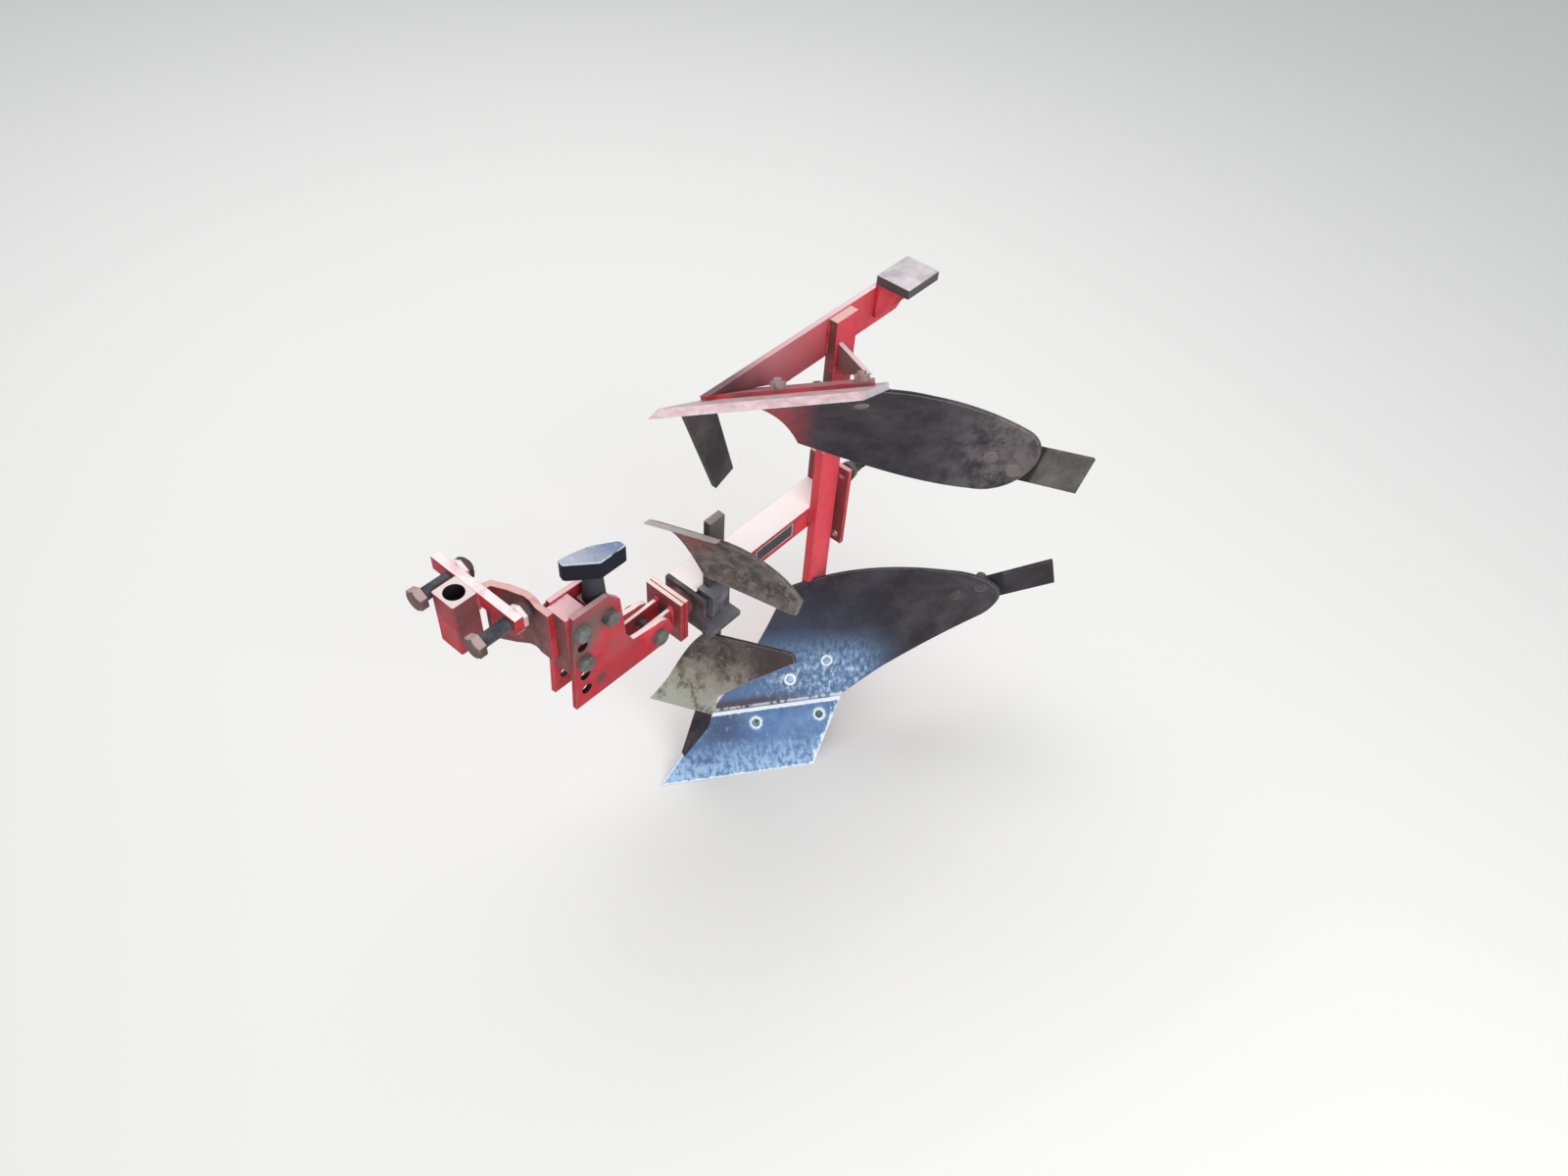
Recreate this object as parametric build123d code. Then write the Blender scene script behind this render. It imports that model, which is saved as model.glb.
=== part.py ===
"""Reversible single-furrow plough for a walking tractor, built piece by piece.

Lengths are in millimetres. While the pieces are drawn, X points forward, Y to
the left and Z up, with Z 0 on the turning axis of the beam and Y 0 on the
outer face of the landsides. The last lines move everything so that the origin
is in the hitch bore, level with the upper face of the socket.
"""
import os
from math import cos, radians, sin, sqrt

from build123d import *

# Fits
SEAT_GAP = 0.3
PIN_GAP = 0.05
RUN_GAP = 0.05

# Depth cleared in front of a working face, and a length beyond every piece
SOIL_ROOM = 60.0
FAR = 900.0

# Height of the cutting edges over and under the turning axis
HALF_HEIGHT = 400.0
AXIS_Y = -17.0

# Hitch socket, set off from the block to the front and from the axis to the
# right, and the bar across its back, which reaches to both sides of the bore
SOCKET_REACH = 65.5
SOCKET_SIDE = 122.0
SOCKET_LONG = 40.0
SOCKET_WIDE = 44.0
SOCKET_TOP = 158.0
SOCKET_TALL = 93.0
SOCKET_BORE = 29.0
SOCKET_EDGE = 2.0
CROSSBAR_THICK = 14.0
CROSSBAR_TALL = 24.0
CROSSBAR_RIGHT = 74.0
CROSSBAR_LEFT = 96.0
EAR_WIDE = 34.0
EAR_DROP = 19.0

# Stop screws through the bar: places from the bore, and how far they stand out behind
SCREW_RIGHT = 37.0
SCREW_LEFT = 80.0
SCREW_DOWN = 15.0
HITCH_SCREW = 20.0
HITCH_SCREW_LONG = 93.0
HITCH_SCREW_BEHIND = 20.0

# Side plates, their bolts and the block between them
GAP_BETWEEN_PLATES = 36.0
PLATE_THICK = 8.0
PLATE_FRONT_LOW = 469.0
PLATE_FRONT_HIGH = 459.0
PLATE_LOW_Z = -22.0
PLATE_HIGH_Z = 159.0
NOSE_R = 27.0
HOLE_X = 447.5
HOLE_LOW_Z = 6.5
HOLE_PITCH = 30.0
HOLE_COUNT = 5
HOLE_D = 17.0
HEIGHT_BOLT = 16.0
BLOCK_REAR = 430.0
BLOCK_FRONT = 465.5
BLOCK_TOP = 155.0
BLOCK_BOTTOM = 45.0
OFFSET_THICK = 10.0
OFFSET_LOW_Z = 66.0
OFFSET_DROP = 16.0
OFFSET_JOGGLE = 3.5
OFFSET_BEND = 15.5
PIVOT_X = 308.0
PIVOT_BOLT = 16.0
SWIVEL_BACK = 31.0
SWIVEL_Z = 119.0
SWIVEL_PIN = 16.0
SWIVEL_DEEP = 7.0
SWIVEL_HALF = 17.0


# Depth screw and its knob
DEPTH_SCREW = 16.0
DEPTH_SCREW_FOOT = -34.0
KNOB_BOTTOM = 190.0
KNOB_TOP = 221.0
HUB_TOP_D = 26.0
HUB_FOOT_D = 33.0
KNOB_OUTLINE = ((38.0, -21.0), (41.0, -10.0), (3.0, 22.0), (-42.0, 22.5), (-42.0, 11.0), (-9.0, -10.0),
                (16.0, -17.0))

# Yoke, spindle and flanges
ARM_THICK = 6.0
ARM_TALL = 40.0
ARM_GAP = 1.0
ARM_FRONT = 418.0
FLANGE_WIDE = 70.0
FLANGE_TALL = 80.0
FLANGE_THICK = 7.5
FLANGE_FRONT = 270.5
FLANGE_GAP = 0.4
SPINDLE_D = 30.0
SPINDLE_REAR = -145.0
SCREW_WINDOW = 5.0

# Beam and the latch behind it
BEAM_WIDE = 50.0
BEAM_TALL = 42.0
BEAM_WALL = 5.0
BEAM_FRONT = 229.0
BEAM_REAR = -90.0
COLLAR_THICK = 7.0
COLLAR_TOP = 30.0
COLLAR_BOTTOM = -38.0
COLLAR_RIGHT = 30.0
COLLAR_LEFT = 48.0
TOP_PLATE_REAR = 171.0
NECK_D = 50.0
REAR_PLATE_THICK = 8.0
REAR_PLATE_HALF = 80.0
REAR_PLATE_LEFT = 38.0
LATCH_Y = 25.0
LATCH_Z = 65.0
LATCH_PIN = 12.0
LATCH_HOLE = 13.0
LATCH_ARM_THICK = 8.0
LATCH_CLEAR = 5.6
LATCH_GUIDE = 16.0
LATCH_OUT = 30.0
LATCH_PULL = 6.0
SPINDLE_NUT = 46.0
SPINDLE_NUT_THICK = 22.0

# Plough body: from here on to the knife, Z is counted from the cutting edge of
# the upper share, so that the whole body keeps together
LANDSIDE_THICK = 8.0
LEG_THICK = 15.0
LEG_FRONT = -35.0
LEG_REAR = -82.0
LEG_END = -22.0
LANDSIDE_EDGE = -20.0
LANDSIDE_WIDE = 64.0
LANDSIDE_REAR = -228.0
LANDSIDE_CORNER = 18.0
HEEL_THICK = 14.0
HEEL_WIDE = 64.0
HEEL_FRONT = -140.0
HEEL_REAR = -212.0
HEEL_LUG = 6.0
HEEL_LUG_UP = 16.0
BRACE_THICK = 8.0
BRACE_SET = 7.0
BRACE_OUTLINE = ((LANDSIDE_THICK + LEG_THICK, -99.0), (LANDSIDE_THICK + LEG_THICK, -59.0), (109.0, -97.0),
                 (130.0, -150.0), (100.0, -137.0))

# Share: angle to the furrow, slope of its face, outline along and across
SHARE_TIP = (310.0, 4.0)
SHARE_ANGLE = 37.4
SHARE_SLOPE = 33.5
SHARE_THICK = 10.0
SHARE_EDGE = 269.0
SHARE_WIDE = 112.0
SHARE_SET = 106.0
SHARE_SET_OUT = 336.0
SHARE_BOLTS = (179.0, 292.0)
SHARE_BOLT_V = 85.0
PLOUGH_BOLT = 12.0
BOLT_HEAD_D = 22.0
FROG_THICK = 6.0
FROG_LOW_V = 72.0
FROG_IN_U = 75.0
FROG_OUT_U = 305.0
FROG_RISE = 14.0
FROG_SEAT = ((0.0, -54.0), (124.0, -58.0), (124.0, -108.0), (88.0, -148.0), (0.0, -156.0))
MOULD_THICK = 7.0
JOINT_GAP = 1.0

# Working face of the mouldboard at the landside and at the wing: the Y of the
# section, then X and Z of an arc's top, middle and end; and the outline from the front
SHIN_ARC = (-14.0, (210.0, -51.0), (52.0, -158.0), (-38.0, -338.0))
WING_ARC = (300.0, (-211.0, -52.0), (-272.0, -188.0), (-224.0, -338.0))
MOULD_OUTLINE = ((-9.0, -48.0), (-7.0, -238.0), ((100.0, -290.5), (205.0, -305.0)),
                 ((250.0, -291.0), (272.0, -248.0)), ((269.0, -220.0), (256.0, -196.0)), (161.0, -101.0),
                 (129.6, -62.0), (118.0, -48.0))

# Bolts through the mouldboard: share of the way down the arcs, then from the
# landside to the wing
FROG_BOLTS = ((0.22, 0.235), (0.31, 0.333))
TAIL_BOLTS = ((0.756, 0.838), (0.692, 0.741))

# Tail extension: its middle, the way it runs, its rise and its outline
TAIL_AT = (-240.0, 251.0, -259.0)
TAIL_RUN = (-0.70, 0.65, -0.30)
TAIL_RISE = (-0.022, 0.009, 0.061)
TAIL_THICK = 6.0
TAIL_INNER = -75.0
TAIL_OUTER = 112.0
TAIL_HALF = 33.0
TAIL_TAPER = 3.0

# Knife standing on the share
KNIFE_THICK = 8.0
KNIFE_OUTLINE = ((250.0, -24.0), (190.0, -48.0), (150.0, -180.0), (185.0, -195.0))

# Skimmers, their bar and the clamp
BAR_REAR = 183.0
BAR_FRONT = 213.5
BAR_THICK = 12.0
BAR_HALF = 165.0
CLAMP_WALL = 12.0
CLAMP_HALF = 36.0
CLAMP_LEFT = 40.0
CLAMP_FOOT = 10.0
SKIM_THICK = 6.0
SKIM_LONG = 210.0
SKIM_ARC = (-28.0, (297.8, 195.0), (239.8, 118.0), (242.8, 45.0))
SKIM_RUN = (-0.36, 0.93, 0.0)
SKIM_OUTLINE = ((-27.0, 194.0), (68.0, 191.0), (57.0, 176.0), (126.0, 103.0), (154.0, 69.0), (152.0, 43.0),
                (17.0, 64.0), ((-8.0, 112.0), (-20.0, 165.0)))


def box(x0, x1, y0, y1, z0, z1):
    """Box between two corners."""
    middle = ((x0 + x1) / 2, (y0 + y1) / 2, (z0 + z1) / 2)
    return Location(middle) * Box(x1 - x0, y1 - y0, z1 - z0)


def rod_x(d, x0, x1, y, z):
    """Round bar along X."""
    return Location(((x0 + x1) / 2, y, z), (0, 90, 0)) * Cylinder(d / 2, x1 - x0)


def rod_y(d, y0, y1, x, z):
    """Round bar along Y."""
    return Location((x, (y0 + y1) / 2, z), (90, 0, 0)) * Cylinder(d / 2, y1 - y0)


def rod_z(d, z0, z1, x, y):
    """Round bar along Z."""
    return Location((x, y, (z0 + z1) / 2)) * Cylinder(d / 2, z1 - z0)


def hexagon(across_flats, thick, where):
    """Hexagon bar of the given thickness, its axis along the Z of a location."""
    flat = RegularPolygon(across_flats / 2, 6, major_radius=False)
    return where * extrude(flat, thick)


def outline(first, *rest):
    """Face from corner to corner; a pair of points is an arc through the one to the other."""
    edges = []
    here = first
    for step in (*rest, first):
        if isinstance(step[0], tuple):
            edges.append(ThreePointArc(here, *step))
            here = step[1]
        else:
            edges.append(Line(here, step))
            here = step
    return make_face(edges)


def prism_xz(points, y0, y1):
    """Outline given as X and Z, run along Y."""
    return extrude(Plane.XZ.offset(-y1) * outline(*points), y1 - y0)


def prism_xy(points, z0, z1):
    """Outline given as X and Y, run along Z."""
    return extrude(Plane.XY.offset(z0) * outline(*points), z1 - z0)


def prism_yz(points, x0, x1):
    """Outline given as Y and Z, run along X."""
    return extrude(Plane.YZ.offset(x0) * outline(*points), x1 - x0)


def lower(piece):
    """The same piece on the other side of the turning axis."""
    return mirror(piece, about=Plane.XY)


pieces = {}

# Faces that several pieces share
inner_left = AXIS_Y + GAP_BETWEEN_PLATES / 2
inner_right = AXIS_Y - GAP_BETWEEN_PLATES / 2
outer_left = inner_left + PLATE_THICK
outer_right = inner_right - PLATE_THICK
swivel_x = BLOCK_REAR - SWIVEL_BACK
socket_x = BLOCK_FRONT + SOCKET_REACH
socket_y = AXIS_Y - SOCKET_SIDE
socket_rear = socket_x - SOCKET_LONG / 2
crossbar_rear = socket_rear - CROSSBAR_THICK

# Hitch socket: a square block with the pin bore from end to end
socket = box(socket_rear, socket_x + SOCKET_LONG / 2, socket_y - SOCKET_WIDE / 2,
             socket_y + SOCKET_WIDE / 2, SOCKET_TOP - SOCKET_TALL, SOCKET_TOP)
socket = chamfer(socket.edges().filter_by(Axis.Z), SOCKET_EDGE)
socket -= rod_z(SOCKET_BORE, SOCKET_TOP - SOCKET_TALL - 5, SOCKET_TOP + 5, socket_x, socket_y)
pieces["hitch_socket"] = socket

# Crossbar behind the socket, with a round ear and a hole for each stop screw
crossbar_low = SOCKET_TOP - CROSSBAR_TALL
screw_z = SOCKET_TOP - SCREW_DOWN
screw_places = (socket_y - SCREW_RIGHT, socket_y + SCREW_LEFT)
crossbar = box(crossbar_rear, socket_rear, socket_y - CROSSBAR_RIGHT, socket_y + CROSSBAR_LEFT,
               crossbar_low, SOCKET_TOP)
for screw_y in screw_places:
    crossbar += prism_yz([(screw_y - EAR_WIDE / 2, crossbar_low),
                          ((screw_y, screw_z - EAR_DROP), (screw_y + EAR_WIDE / 2, crossbar_low))],
                         crossbar_rear, socket_rear)
    crossbar -= rod_x(HITCH_SCREW + 2 * PIN_GAP, crossbar_rear - 5, socket_rear + 5, screw_y, screw_z)
pieces["hitch_crossbar"] = crossbar

# Nuts welded behind the crossbar and the stop screws through them
nut_thick = 0.8 * HITCH_SCREW
nut_flats = 1.5 * HITCH_SCREW
screw_rear = crossbar_rear - HITCH_SCREW_BEHIND
head_thick = 0.65 * HITCH_SCREW
head_rear = screw_rear + HITCH_SCREW_LONG - head_thick
nuts = []
screws = []
for screw_y in screw_places:
    nut = hexagon(nut_flats, nut_thick, Location((crossbar_rear - nut_thick, screw_y, screw_z), (0, 90, 0)))
    nut -= rod_x(HITCH_SCREW + 2 * PIN_GAP, crossbar_rear - 2 * nut_thick, crossbar_rear, screw_y, screw_z)
    nuts.append(nut)
    shank = rod_x(HITCH_SCREW, screw_rear, head_rear, screw_y, screw_z)
    head = hexagon(nut_flats, head_thick, Location((head_rear, screw_y, screw_z), (0, 90, 0)))
    screws.append(shank + head)
pieces["hitch_nuts"] = Compound(nuts)
pieces["hitch_screws"] = Compound(screws)

# Bent offset plate from the front of the block to the back of the crossbar
bend_front = BLOCK_FRONT + OFFSET_THICK - OFFSET_JOGGLE
offset_low = OFFSET_LOW_Z - OFFSET_DROP
offset_plate = prism_xy([(crossbar_rear, socket_y + 13), (crossbar_rear - 14, socket_y + 15),
                         (bend_front - 2, socket_y + 39), (BLOCK_FRONT - OFFSET_JOGGLE, outer_right - 31),
                         (BLOCK_FRONT - OFFSET_JOGGLE, outer_right - 17), (BLOCK_FRONT, outer_right - 1),
                         (BLOCK_FRONT, AXIS_Y - 5), (BLOCK_FRONT + OFFSET_THICK, AXIS_Y - 5),
                         (BLOCK_FRONT + OFFSET_THICK, outer_right - 3), (bend_front, outer_right - 17),
                         (bend_front, outer_right - 29), (BLOCK_FRONT + OFFSET_BEND, socket_y + 42),
                         (crossbar_rear - 6, socket_y + 24), (crossbar_rear, socket_y + 24)],
                        offset_low, SOCKET_TOP)
offset_plate -= prism_xz([(BLOCK_FRONT - 10, BLOCK_TOP), (BLOCK_FRONT + OFFSET_THICK, BLOCK_TOP),
                          (crossbar_rear, SOCKET_TOP), (BLOCK_FRONT - 10, SOCKET_TOP)],
                         socket_y, AXIS_Y)
offset_plate -= prism_yz([(socket_y, offset_low), (socket_y + 44, offset_low),
                          (outer_right - 7, OFFSET_LOW_Z), (AXIS_Y, OFFSET_LOW_Z), (AXIS_Y, 0),
                          (socket_y, 0)], BLOCK_FRONT - 20, socket_rear)
pieces["offset_plate"] = offset_plate

# Block held between the side plates at one of several heights
low_bolt_z = HOLE_LOW_Z + 2 * HOLE_PITCH
high_bolt_z = HOLE_LOW_Z + 4 * HOLE_PITCH
block = box(BLOCK_REAR, BLOCK_FRONT, inner_right, inner_left, BLOCK_BOTTOM, BLOCK_TOP)
for bolt_z in (low_bolt_z, high_bolt_z):
    block -= rod_y(HEIGHT_BOLT + 2 * PIN_GAP, inner_right - 5, inner_left + 5, HOLE_X, bolt_z)
pieces["height_block"] = block

# Side plates with the row of height holes
side_outline = [(PLATE_FRONT_LOW, PLATE_LOW_Z), (PLATE_FRONT_HIGH, PLATE_HIGH_Z),
                (swivel_x - 1, PLATE_HIGH_Z - 2), (swivel_x - 22, SWIVEL_Z + 17),
                (swivel_x - 29, SWIVEL_Z - 61), (swivel_x - 42, NOSE_R + 7), (PIVOT_X + 4, NOSE_R),
                ((PIVOT_X - NOSE_R, 0), (PIVOT_X, -NOSE_R))]
plates = []
for y0 in (inner_left, outer_right):
    plate = prism_xz(side_outline, y0, y0 + PLATE_THICK)
    for n in range(HOLE_COUNT):
        d = HEIGHT_BOLT + 2 * PIN_GAP if n in (2, 4) else HOLE_D
        plate -= rod_y(d, y0 - 5, y0 + PLATE_THICK + 5, HOLE_X, HOLE_LOW_Z + n * HOLE_PITCH)
    plate -= rod_y(SWIVEL_PIN + 2 * PIN_GAP, y0 - 5, y0 + PLATE_THICK + 5, swivel_x, SWIVEL_Z)
    plate -= rod_y(PIVOT_BOLT + 2 * PIN_GAP, y0 - 5, y0 + PLATE_THICK + 5, PIVOT_X, 0)
    plates.append(plate)
pieces["side_plate_left"] = plates[0]
pieces["side_plate_right"] = plates[1]


def cross_bolt(d, x, z):
    """Hexagon bolt through both side plates with its nut on the right."""
    head = hexagon(1.5 * d, 0.63 * d, Location((x, outer_left + 0.63 * d, z), (90, 0, 0)))
    nut = hexagon(1.5 * d, 0.8 * d, Location((x, outer_right, z), (90, 0, 0)))
    return head + nut + rod_y(d, outer_right - 0.95 * d, outer_left + 1, x, z)


pieces["height_bolts"] = Compound([cross_bolt(HEIGHT_BOLT, HOLE_X, z) for z in (low_bolt_z, high_bolt_z)])
pieces["pivot_bolt"] = cross_bolt(PIVOT_BOLT, PIVOT_X, 0)

# Swivel block that carries the depth screw, on a short screw from each side
swivel = box(swivel_x - SWIVEL_HALF, swivel_x + SWIVEL_HALF, inner_right, inner_left,
             SWIVEL_Z - SWIVEL_HALF, SWIVEL_Z + SWIVEL_HALF)
swivel -= rod_z(DEPTH_SCREW + 2 * PIN_GAP, SWIVEL_Z - 30, SWIVEL_Z + 30, swivel_x, AXIS_Y)
swivel_screws = []
pin_head = 0.65 * SWIVEL_PIN
for side, inner, outer in ((1, inner_left, outer_left), (-1, inner_right, outer_right)):
    tip = inner - side * SWIVEL_DEEP
    swivel -= rod_y(SWIVEL_PIN + 2 * PIN_GAP, *sorted((tip, inner + side)), swivel_x, SWIVEL_Z)
    head_at = outer + pin_head if side > 0 else outer
    head = hexagon(1.5 * SWIVEL_PIN, pin_head, Location((swivel_x, head_at, SWIVEL_Z), (90, 0, 0)))
    swivel_screws.append(rod_y(SWIVEL_PIN, *sorted((tip, outer)), swivel_x, SWIVEL_Z) + head)
pieces["swivel_block"] = swivel
pieces["swivel_screws"] = Compound(swivel_screws)

# Depth screw and its winged knob
pieces["depth_screw"] = rod_z(DEPTH_SCREW, DEPTH_SCREW_FOOT, KNOB_BOTTOM - 10, swivel_x, AXIS_Y)
hub_foot = SWIVEL_Z + SWIVEL_HALF
hub = Location((swivel_x, AXIS_Y, (hub_foot + KNOB_BOTTOM) / 2)) * Cone(
    HUB_FOOT_D / 2, HUB_TOP_D / 2, KNOB_BOTTOM - hub_foot)
knob = hub + prism_xy([(swivel_x + x, AXIS_Y + y) for x, y in KNOB_OUTLINE], KNOB_BOTTOM, KNOB_TOP)
knob -= rod_z(DEPTH_SCREW + 2 * PIN_GAP, SWIVEL_Z, KNOB_BOTTOM - 10, swivel_x, AXIS_Y)
pieces["depth_knob"] = knob

# Yoke: two arms inside the side plates, the cross block and the front flange
arm_left_out = inner_left - ARM_GAP
arm_right_out = inner_right + ARM_GAP
arms = []
for y0 in (arm_left_out - ARM_THICK, arm_right_out):
    arm = box(FLANGE_FRONT, ARM_FRONT, y0, y0 + ARM_THICK, -ARM_TALL / 2, ARM_TALL / 2)
    arm -= rod_y(PIVOT_BOLT + 2 * RUN_GAP, y0 - 5, y0 + ARM_THICK + 5, PIVOT_X, 0)
    arms.append(arm)
pieces["yoke_arms"] = Compound(arms)
cross_block = box(swivel_x - 19, swivel_x + 19, arm_right_out + ARM_THICK, arm_left_out - ARM_THICK, -15, 15)
window = DEPTH_SCREW / 2 + SCREW_WINDOW
cross_block -= box(swivel_x - window, swivel_x + window, AXIS_Y - 30, AXIS_Y + 30, -20, 20)
pieces["yoke_cross_block"] = cross_block
flange_rear = FLANGE_FRONT - FLANGE_THICK
flange_right = AXIS_Y - FLANGE_WIDE / 2
flange_left = AXIS_Y + FLANGE_WIDE / 2
yoke_flange = box(flange_rear, FLANGE_FRONT, flange_right, flange_left, -FLANGE_TALL / 2, FLANGE_TALL / 2)
yoke_flange -= rod_x(SPINDLE_D + 2 * PIN_GAP, flange_rear - 5, FLANGE_FRONT + 5, AXIS_Y, 0)
pieces["yoke_flange"] = yoke_flange

# Flange and neck at the front end of the beam, and the collar with its plate on top of the beam
beam_flange_front = flange_rear - FLANGE_GAP
beam_flange_rear = beam_flange_front - FLANGE_THICK
collar_front = BEAM_FRONT + COLLAR_THICK
bush = SPINDLE_D + 2 * RUN_GAP
bush_room = rod_x(bush, BEAM_REAR - 30, beam_flange_front + 5, AXIS_Y, 0)
beam_flange = box(beam_flange_rear, beam_flange_front, flange_right, flange_left,
                  -FLANGE_TALL / 2, FLANGE_TALL / 2)
pieces["beam_flange"] = beam_flange - bush_room
pieces["beam_neck"] = rod_x(NECK_D, collar_front, beam_flange_rear, AXIS_Y, 0) - bush_room
beam_left = AXIS_Y + BEAM_WIDE / 2
beam_right = AXIS_Y - BEAM_WIDE / 2
collar_right = AXIS_Y - COLLAR_RIGHT
collar = box(BEAM_FRONT, collar_front, collar_right, AXIS_Y + COLLAR_LEFT, COLLAR_BOTTOM, COLLAR_TOP)
collar += box(TOP_PLATE_REAR, BEAM_FRONT, collar_right, beam_left, BEAM_TALL / 2, COLLAR_TOP)
pieces["beam_collar"] = collar - bush_room

# Beam tube and the plate across its rear end with a hole for either working side
beam = box(BEAM_REAR, BEAM_FRONT, beam_right, beam_left, -BEAM_TALL / 2, BEAM_TALL / 2)
beam -= box(BEAM_REAR - 5, BEAM_FRONT + 5, beam_right + BEAM_WALL, beam_left - BEAM_WALL,
            BEAM_WALL - BEAM_TALL / 2, BEAM_TALL / 2 - BEAM_WALL)
pieces["beam"] = beam
rear_plate_rear = BEAM_REAR - REAR_PLATE_THICK
rear_plate = box(rear_plate_rear, BEAM_REAR, beam_right, REAR_PLATE_LEFT, -REAR_PLATE_HALF, REAR_PLATE_HALF)
for hole_z in (-LATCH_Z, LATCH_Z):
    rear_plate -= rod_x(LATCH_HOLE, rear_plate_rear - 5, BEAM_REAR + 5, LATCH_Y, hole_z)
pieces["beam_rear_plate"] = rear_plate - bush_room

# Latch: an arm fixed on the spindle, a guide on it and the drawn pin with its pull
arm_front = rear_plate_rear - LATCH_CLEAR
arm_rear = arm_front - LATCH_ARM_THICK
spindle_boss = Location((AXIS_Y, 0)) * Circle(SPINDLE_D / 2 + 10)
latch_boss = Location((LATCH_Y, LATCH_Z)) * Circle(LATCH_PIN / 2 + 8)
arm_face = make_hull(spindle_boss.edges() + latch_boss.edges())
latch_arm = extrude(Plane.YZ.offset(arm_rear) * arm_face, LATCH_ARM_THICK)
latch_arm += rod_x(LATCH_PIN + 10, arm_rear - LATCH_GUIDE, arm_rear, LATCH_Y, LATCH_Z)
latch_arm -= rod_x(LATCH_PIN + 2 * PIN_GAP, arm_rear - LATCH_GUIDE - 5, arm_front + 5, LATCH_Y, LATCH_Z)
latch_arm -= rod_x(SPINDLE_D + 2 * PIN_GAP, arm_rear - 5, arm_front + 5, AXIS_Y, 0)
pieces["latch_arm"] = latch_arm
pin_rear = arm_rear - LATCH_OUT
latch_pin = rod_x(LATCH_PIN, pin_rear, arm_front, LATCH_Y, LATCH_Z)
latch_pin += rod_x(LATCH_PIN + 10, pin_rear, pin_rear + LATCH_PULL, LATCH_Y, LATCH_Z)
pieces["latch_pin"] = latch_pin

# Spindle from the yoke flange to the nut behind the latch, with its thrust washer
pieces["spindle"] = rod_x(SPINDLE_D, SPINDLE_REAR, FLANGE_FRONT, AXIS_Y, 0)
washer = rod_x(1.55 * SPINDLE_D, arm_front, rear_plate_rear - FLANGE_GAP, AXIS_Y, 0)
washer -= rod_x(SPINDLE_D + 2 * PIN_GAP, arm_front - 5, rear_plate_rear + 5, AXIS_Y, 0)
pieces["spindle_washer"] = washer
spindle_nut = hexagon(SPINDLE_NUT, SPINDLE_NUT_THICK,
                      Location((arm_rear - SPINDLE_NUT_THICK, AXIS_Y, 0), (0, 90, 0)))
spindle_nut -= rod_x(SPINDLE_D + 2 * PIN_GAP, arm_rear - 2 * SPINDLE_NUT_THICK, arm_rear + 5, AXIS_Y, 0)
pieces["spindle_nut"] = spindle_nut

# Frame of the upper share, its tip at Z 0: first direction along the edge, second across the
# face, third through the plate to its back
along = Vector(-cos(radians(SHARE_ANGLE)), sin(radians(SHARE_ANGLE)), 0)
across = Vector(-sin(radians(SHARE_ANGLE)) * cos(radians(SHARE_SLOPE)),
                -cos(radians(SHARE_ANGLE)) * cos(radians(SHARE_SLOPE)), -sin(radians(SHARE_SLOPE)))
share_plane = Plane(origin=(*SHARE_TIP, 0), x_dir=along, z_dir=along.cross(across))


def share_prism(points, w0, w1):
    """Outline in the share's plane, run from one depth to another."""
    return share_plane.location * (Location((0, 0, w0)) * extrude(outline(*points), w1 - w0))


def bolt_hole(plane):
    """Round hole for a plough bolt, square to a plane on a working face."""
    return plane.location * Cylinder((PLOUGH_BOLT + 2 * PIN_GAP) / 2, 120)


def plough_bolt(plane, nut_depth):
    """Bolt with a flush round head and its nut at a depth behind the face."""
    head = Cone(BOLT_HEAD_D / 2, PLOUGH_BOLT / 2, 5, align=(Align.CENTER, Align.CENTER, Align.MIN))
    shank = Cylinder(PLOUGH_BOLT / 2, nut_depth + 14, align=(Align.CENTER, Align.CENTER, Align.MIN))
    nut = hexagon(1.6 * PLOUGH_BOLT, 0.8 * PLOUGH_BOLT, Location((0, 0, nut_depth)))
    return plane.location * (head + shank + nut)


def bolt_sink(plane):
    """Countersink and hole that a plough bolt fills, with its clearance."""
    head = Cone(BOLT_HEAD_D / 2 + PIN_GAP, PLOUGH_BOLT / 2 + PIN_GAP, 5,
                align=(Align.CENTER, Align.CENTER, Align.MIN))
    lip = Cylinder(BOLT_HEAD_D / 2 + PIN_GAP, 10, align=(Align.CENTER, Align.CENTER, Align.MAX))
    return plane.location * (head + lip) + bolt_hole(plane)


share_bolt_planes = [Plane(share_plane.from_local_coords((u, SHARE_BOLT_V, 0)), x_dir=along,
                           z_dir=share_plane.z_dir) for u in SHARE_BOLTS]
share = share_prism([(0, 0), (SHARE_EDGE, 0), (SHARE_SET_OUT, SHARE_WIDE), (SHARE_SET, SHARE_WIDE)],
                    0, SHARE_THICK)
share = share & box(-FAR, FAR, -FAR, FAR, -FAR, 0)
for plane in share_bolt_planes:
    share -= bolt_sink(plane)
pieces["share_upper"] = share


def arc_offset(arc, depth):
    """Three points of the same arc moved a depth to the back, away from the worked soil."""
    y, (ax, az), (bx, bz), (cx, cz) = arc
    d = 2 * (ax * (bz - cz) + bx * (cz - az) + cx * (az - bz))
    ox = ((ax**2 + az**2) * (bz - cz) + (bx**2 + bz**2) * (cz - az) + (cx**2 + cz**2) * (az - bz)) / d
    oz = ((ax**2 + az**2) * (cx - bx) + (bx**2 + bz**2) * (ax - cx) + (cx**2 + cz**2) * (bx - ax)) / d
    r = sqrt((ax - ox) ** 2 + (az - oz) ** 2)
    k = (r + depth) / r
    return [(ox + (x - ox) * k, y, oz + (z - oz) * k) for x, z in ((ax, az), (bx, bz), (cx, cz))]


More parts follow.
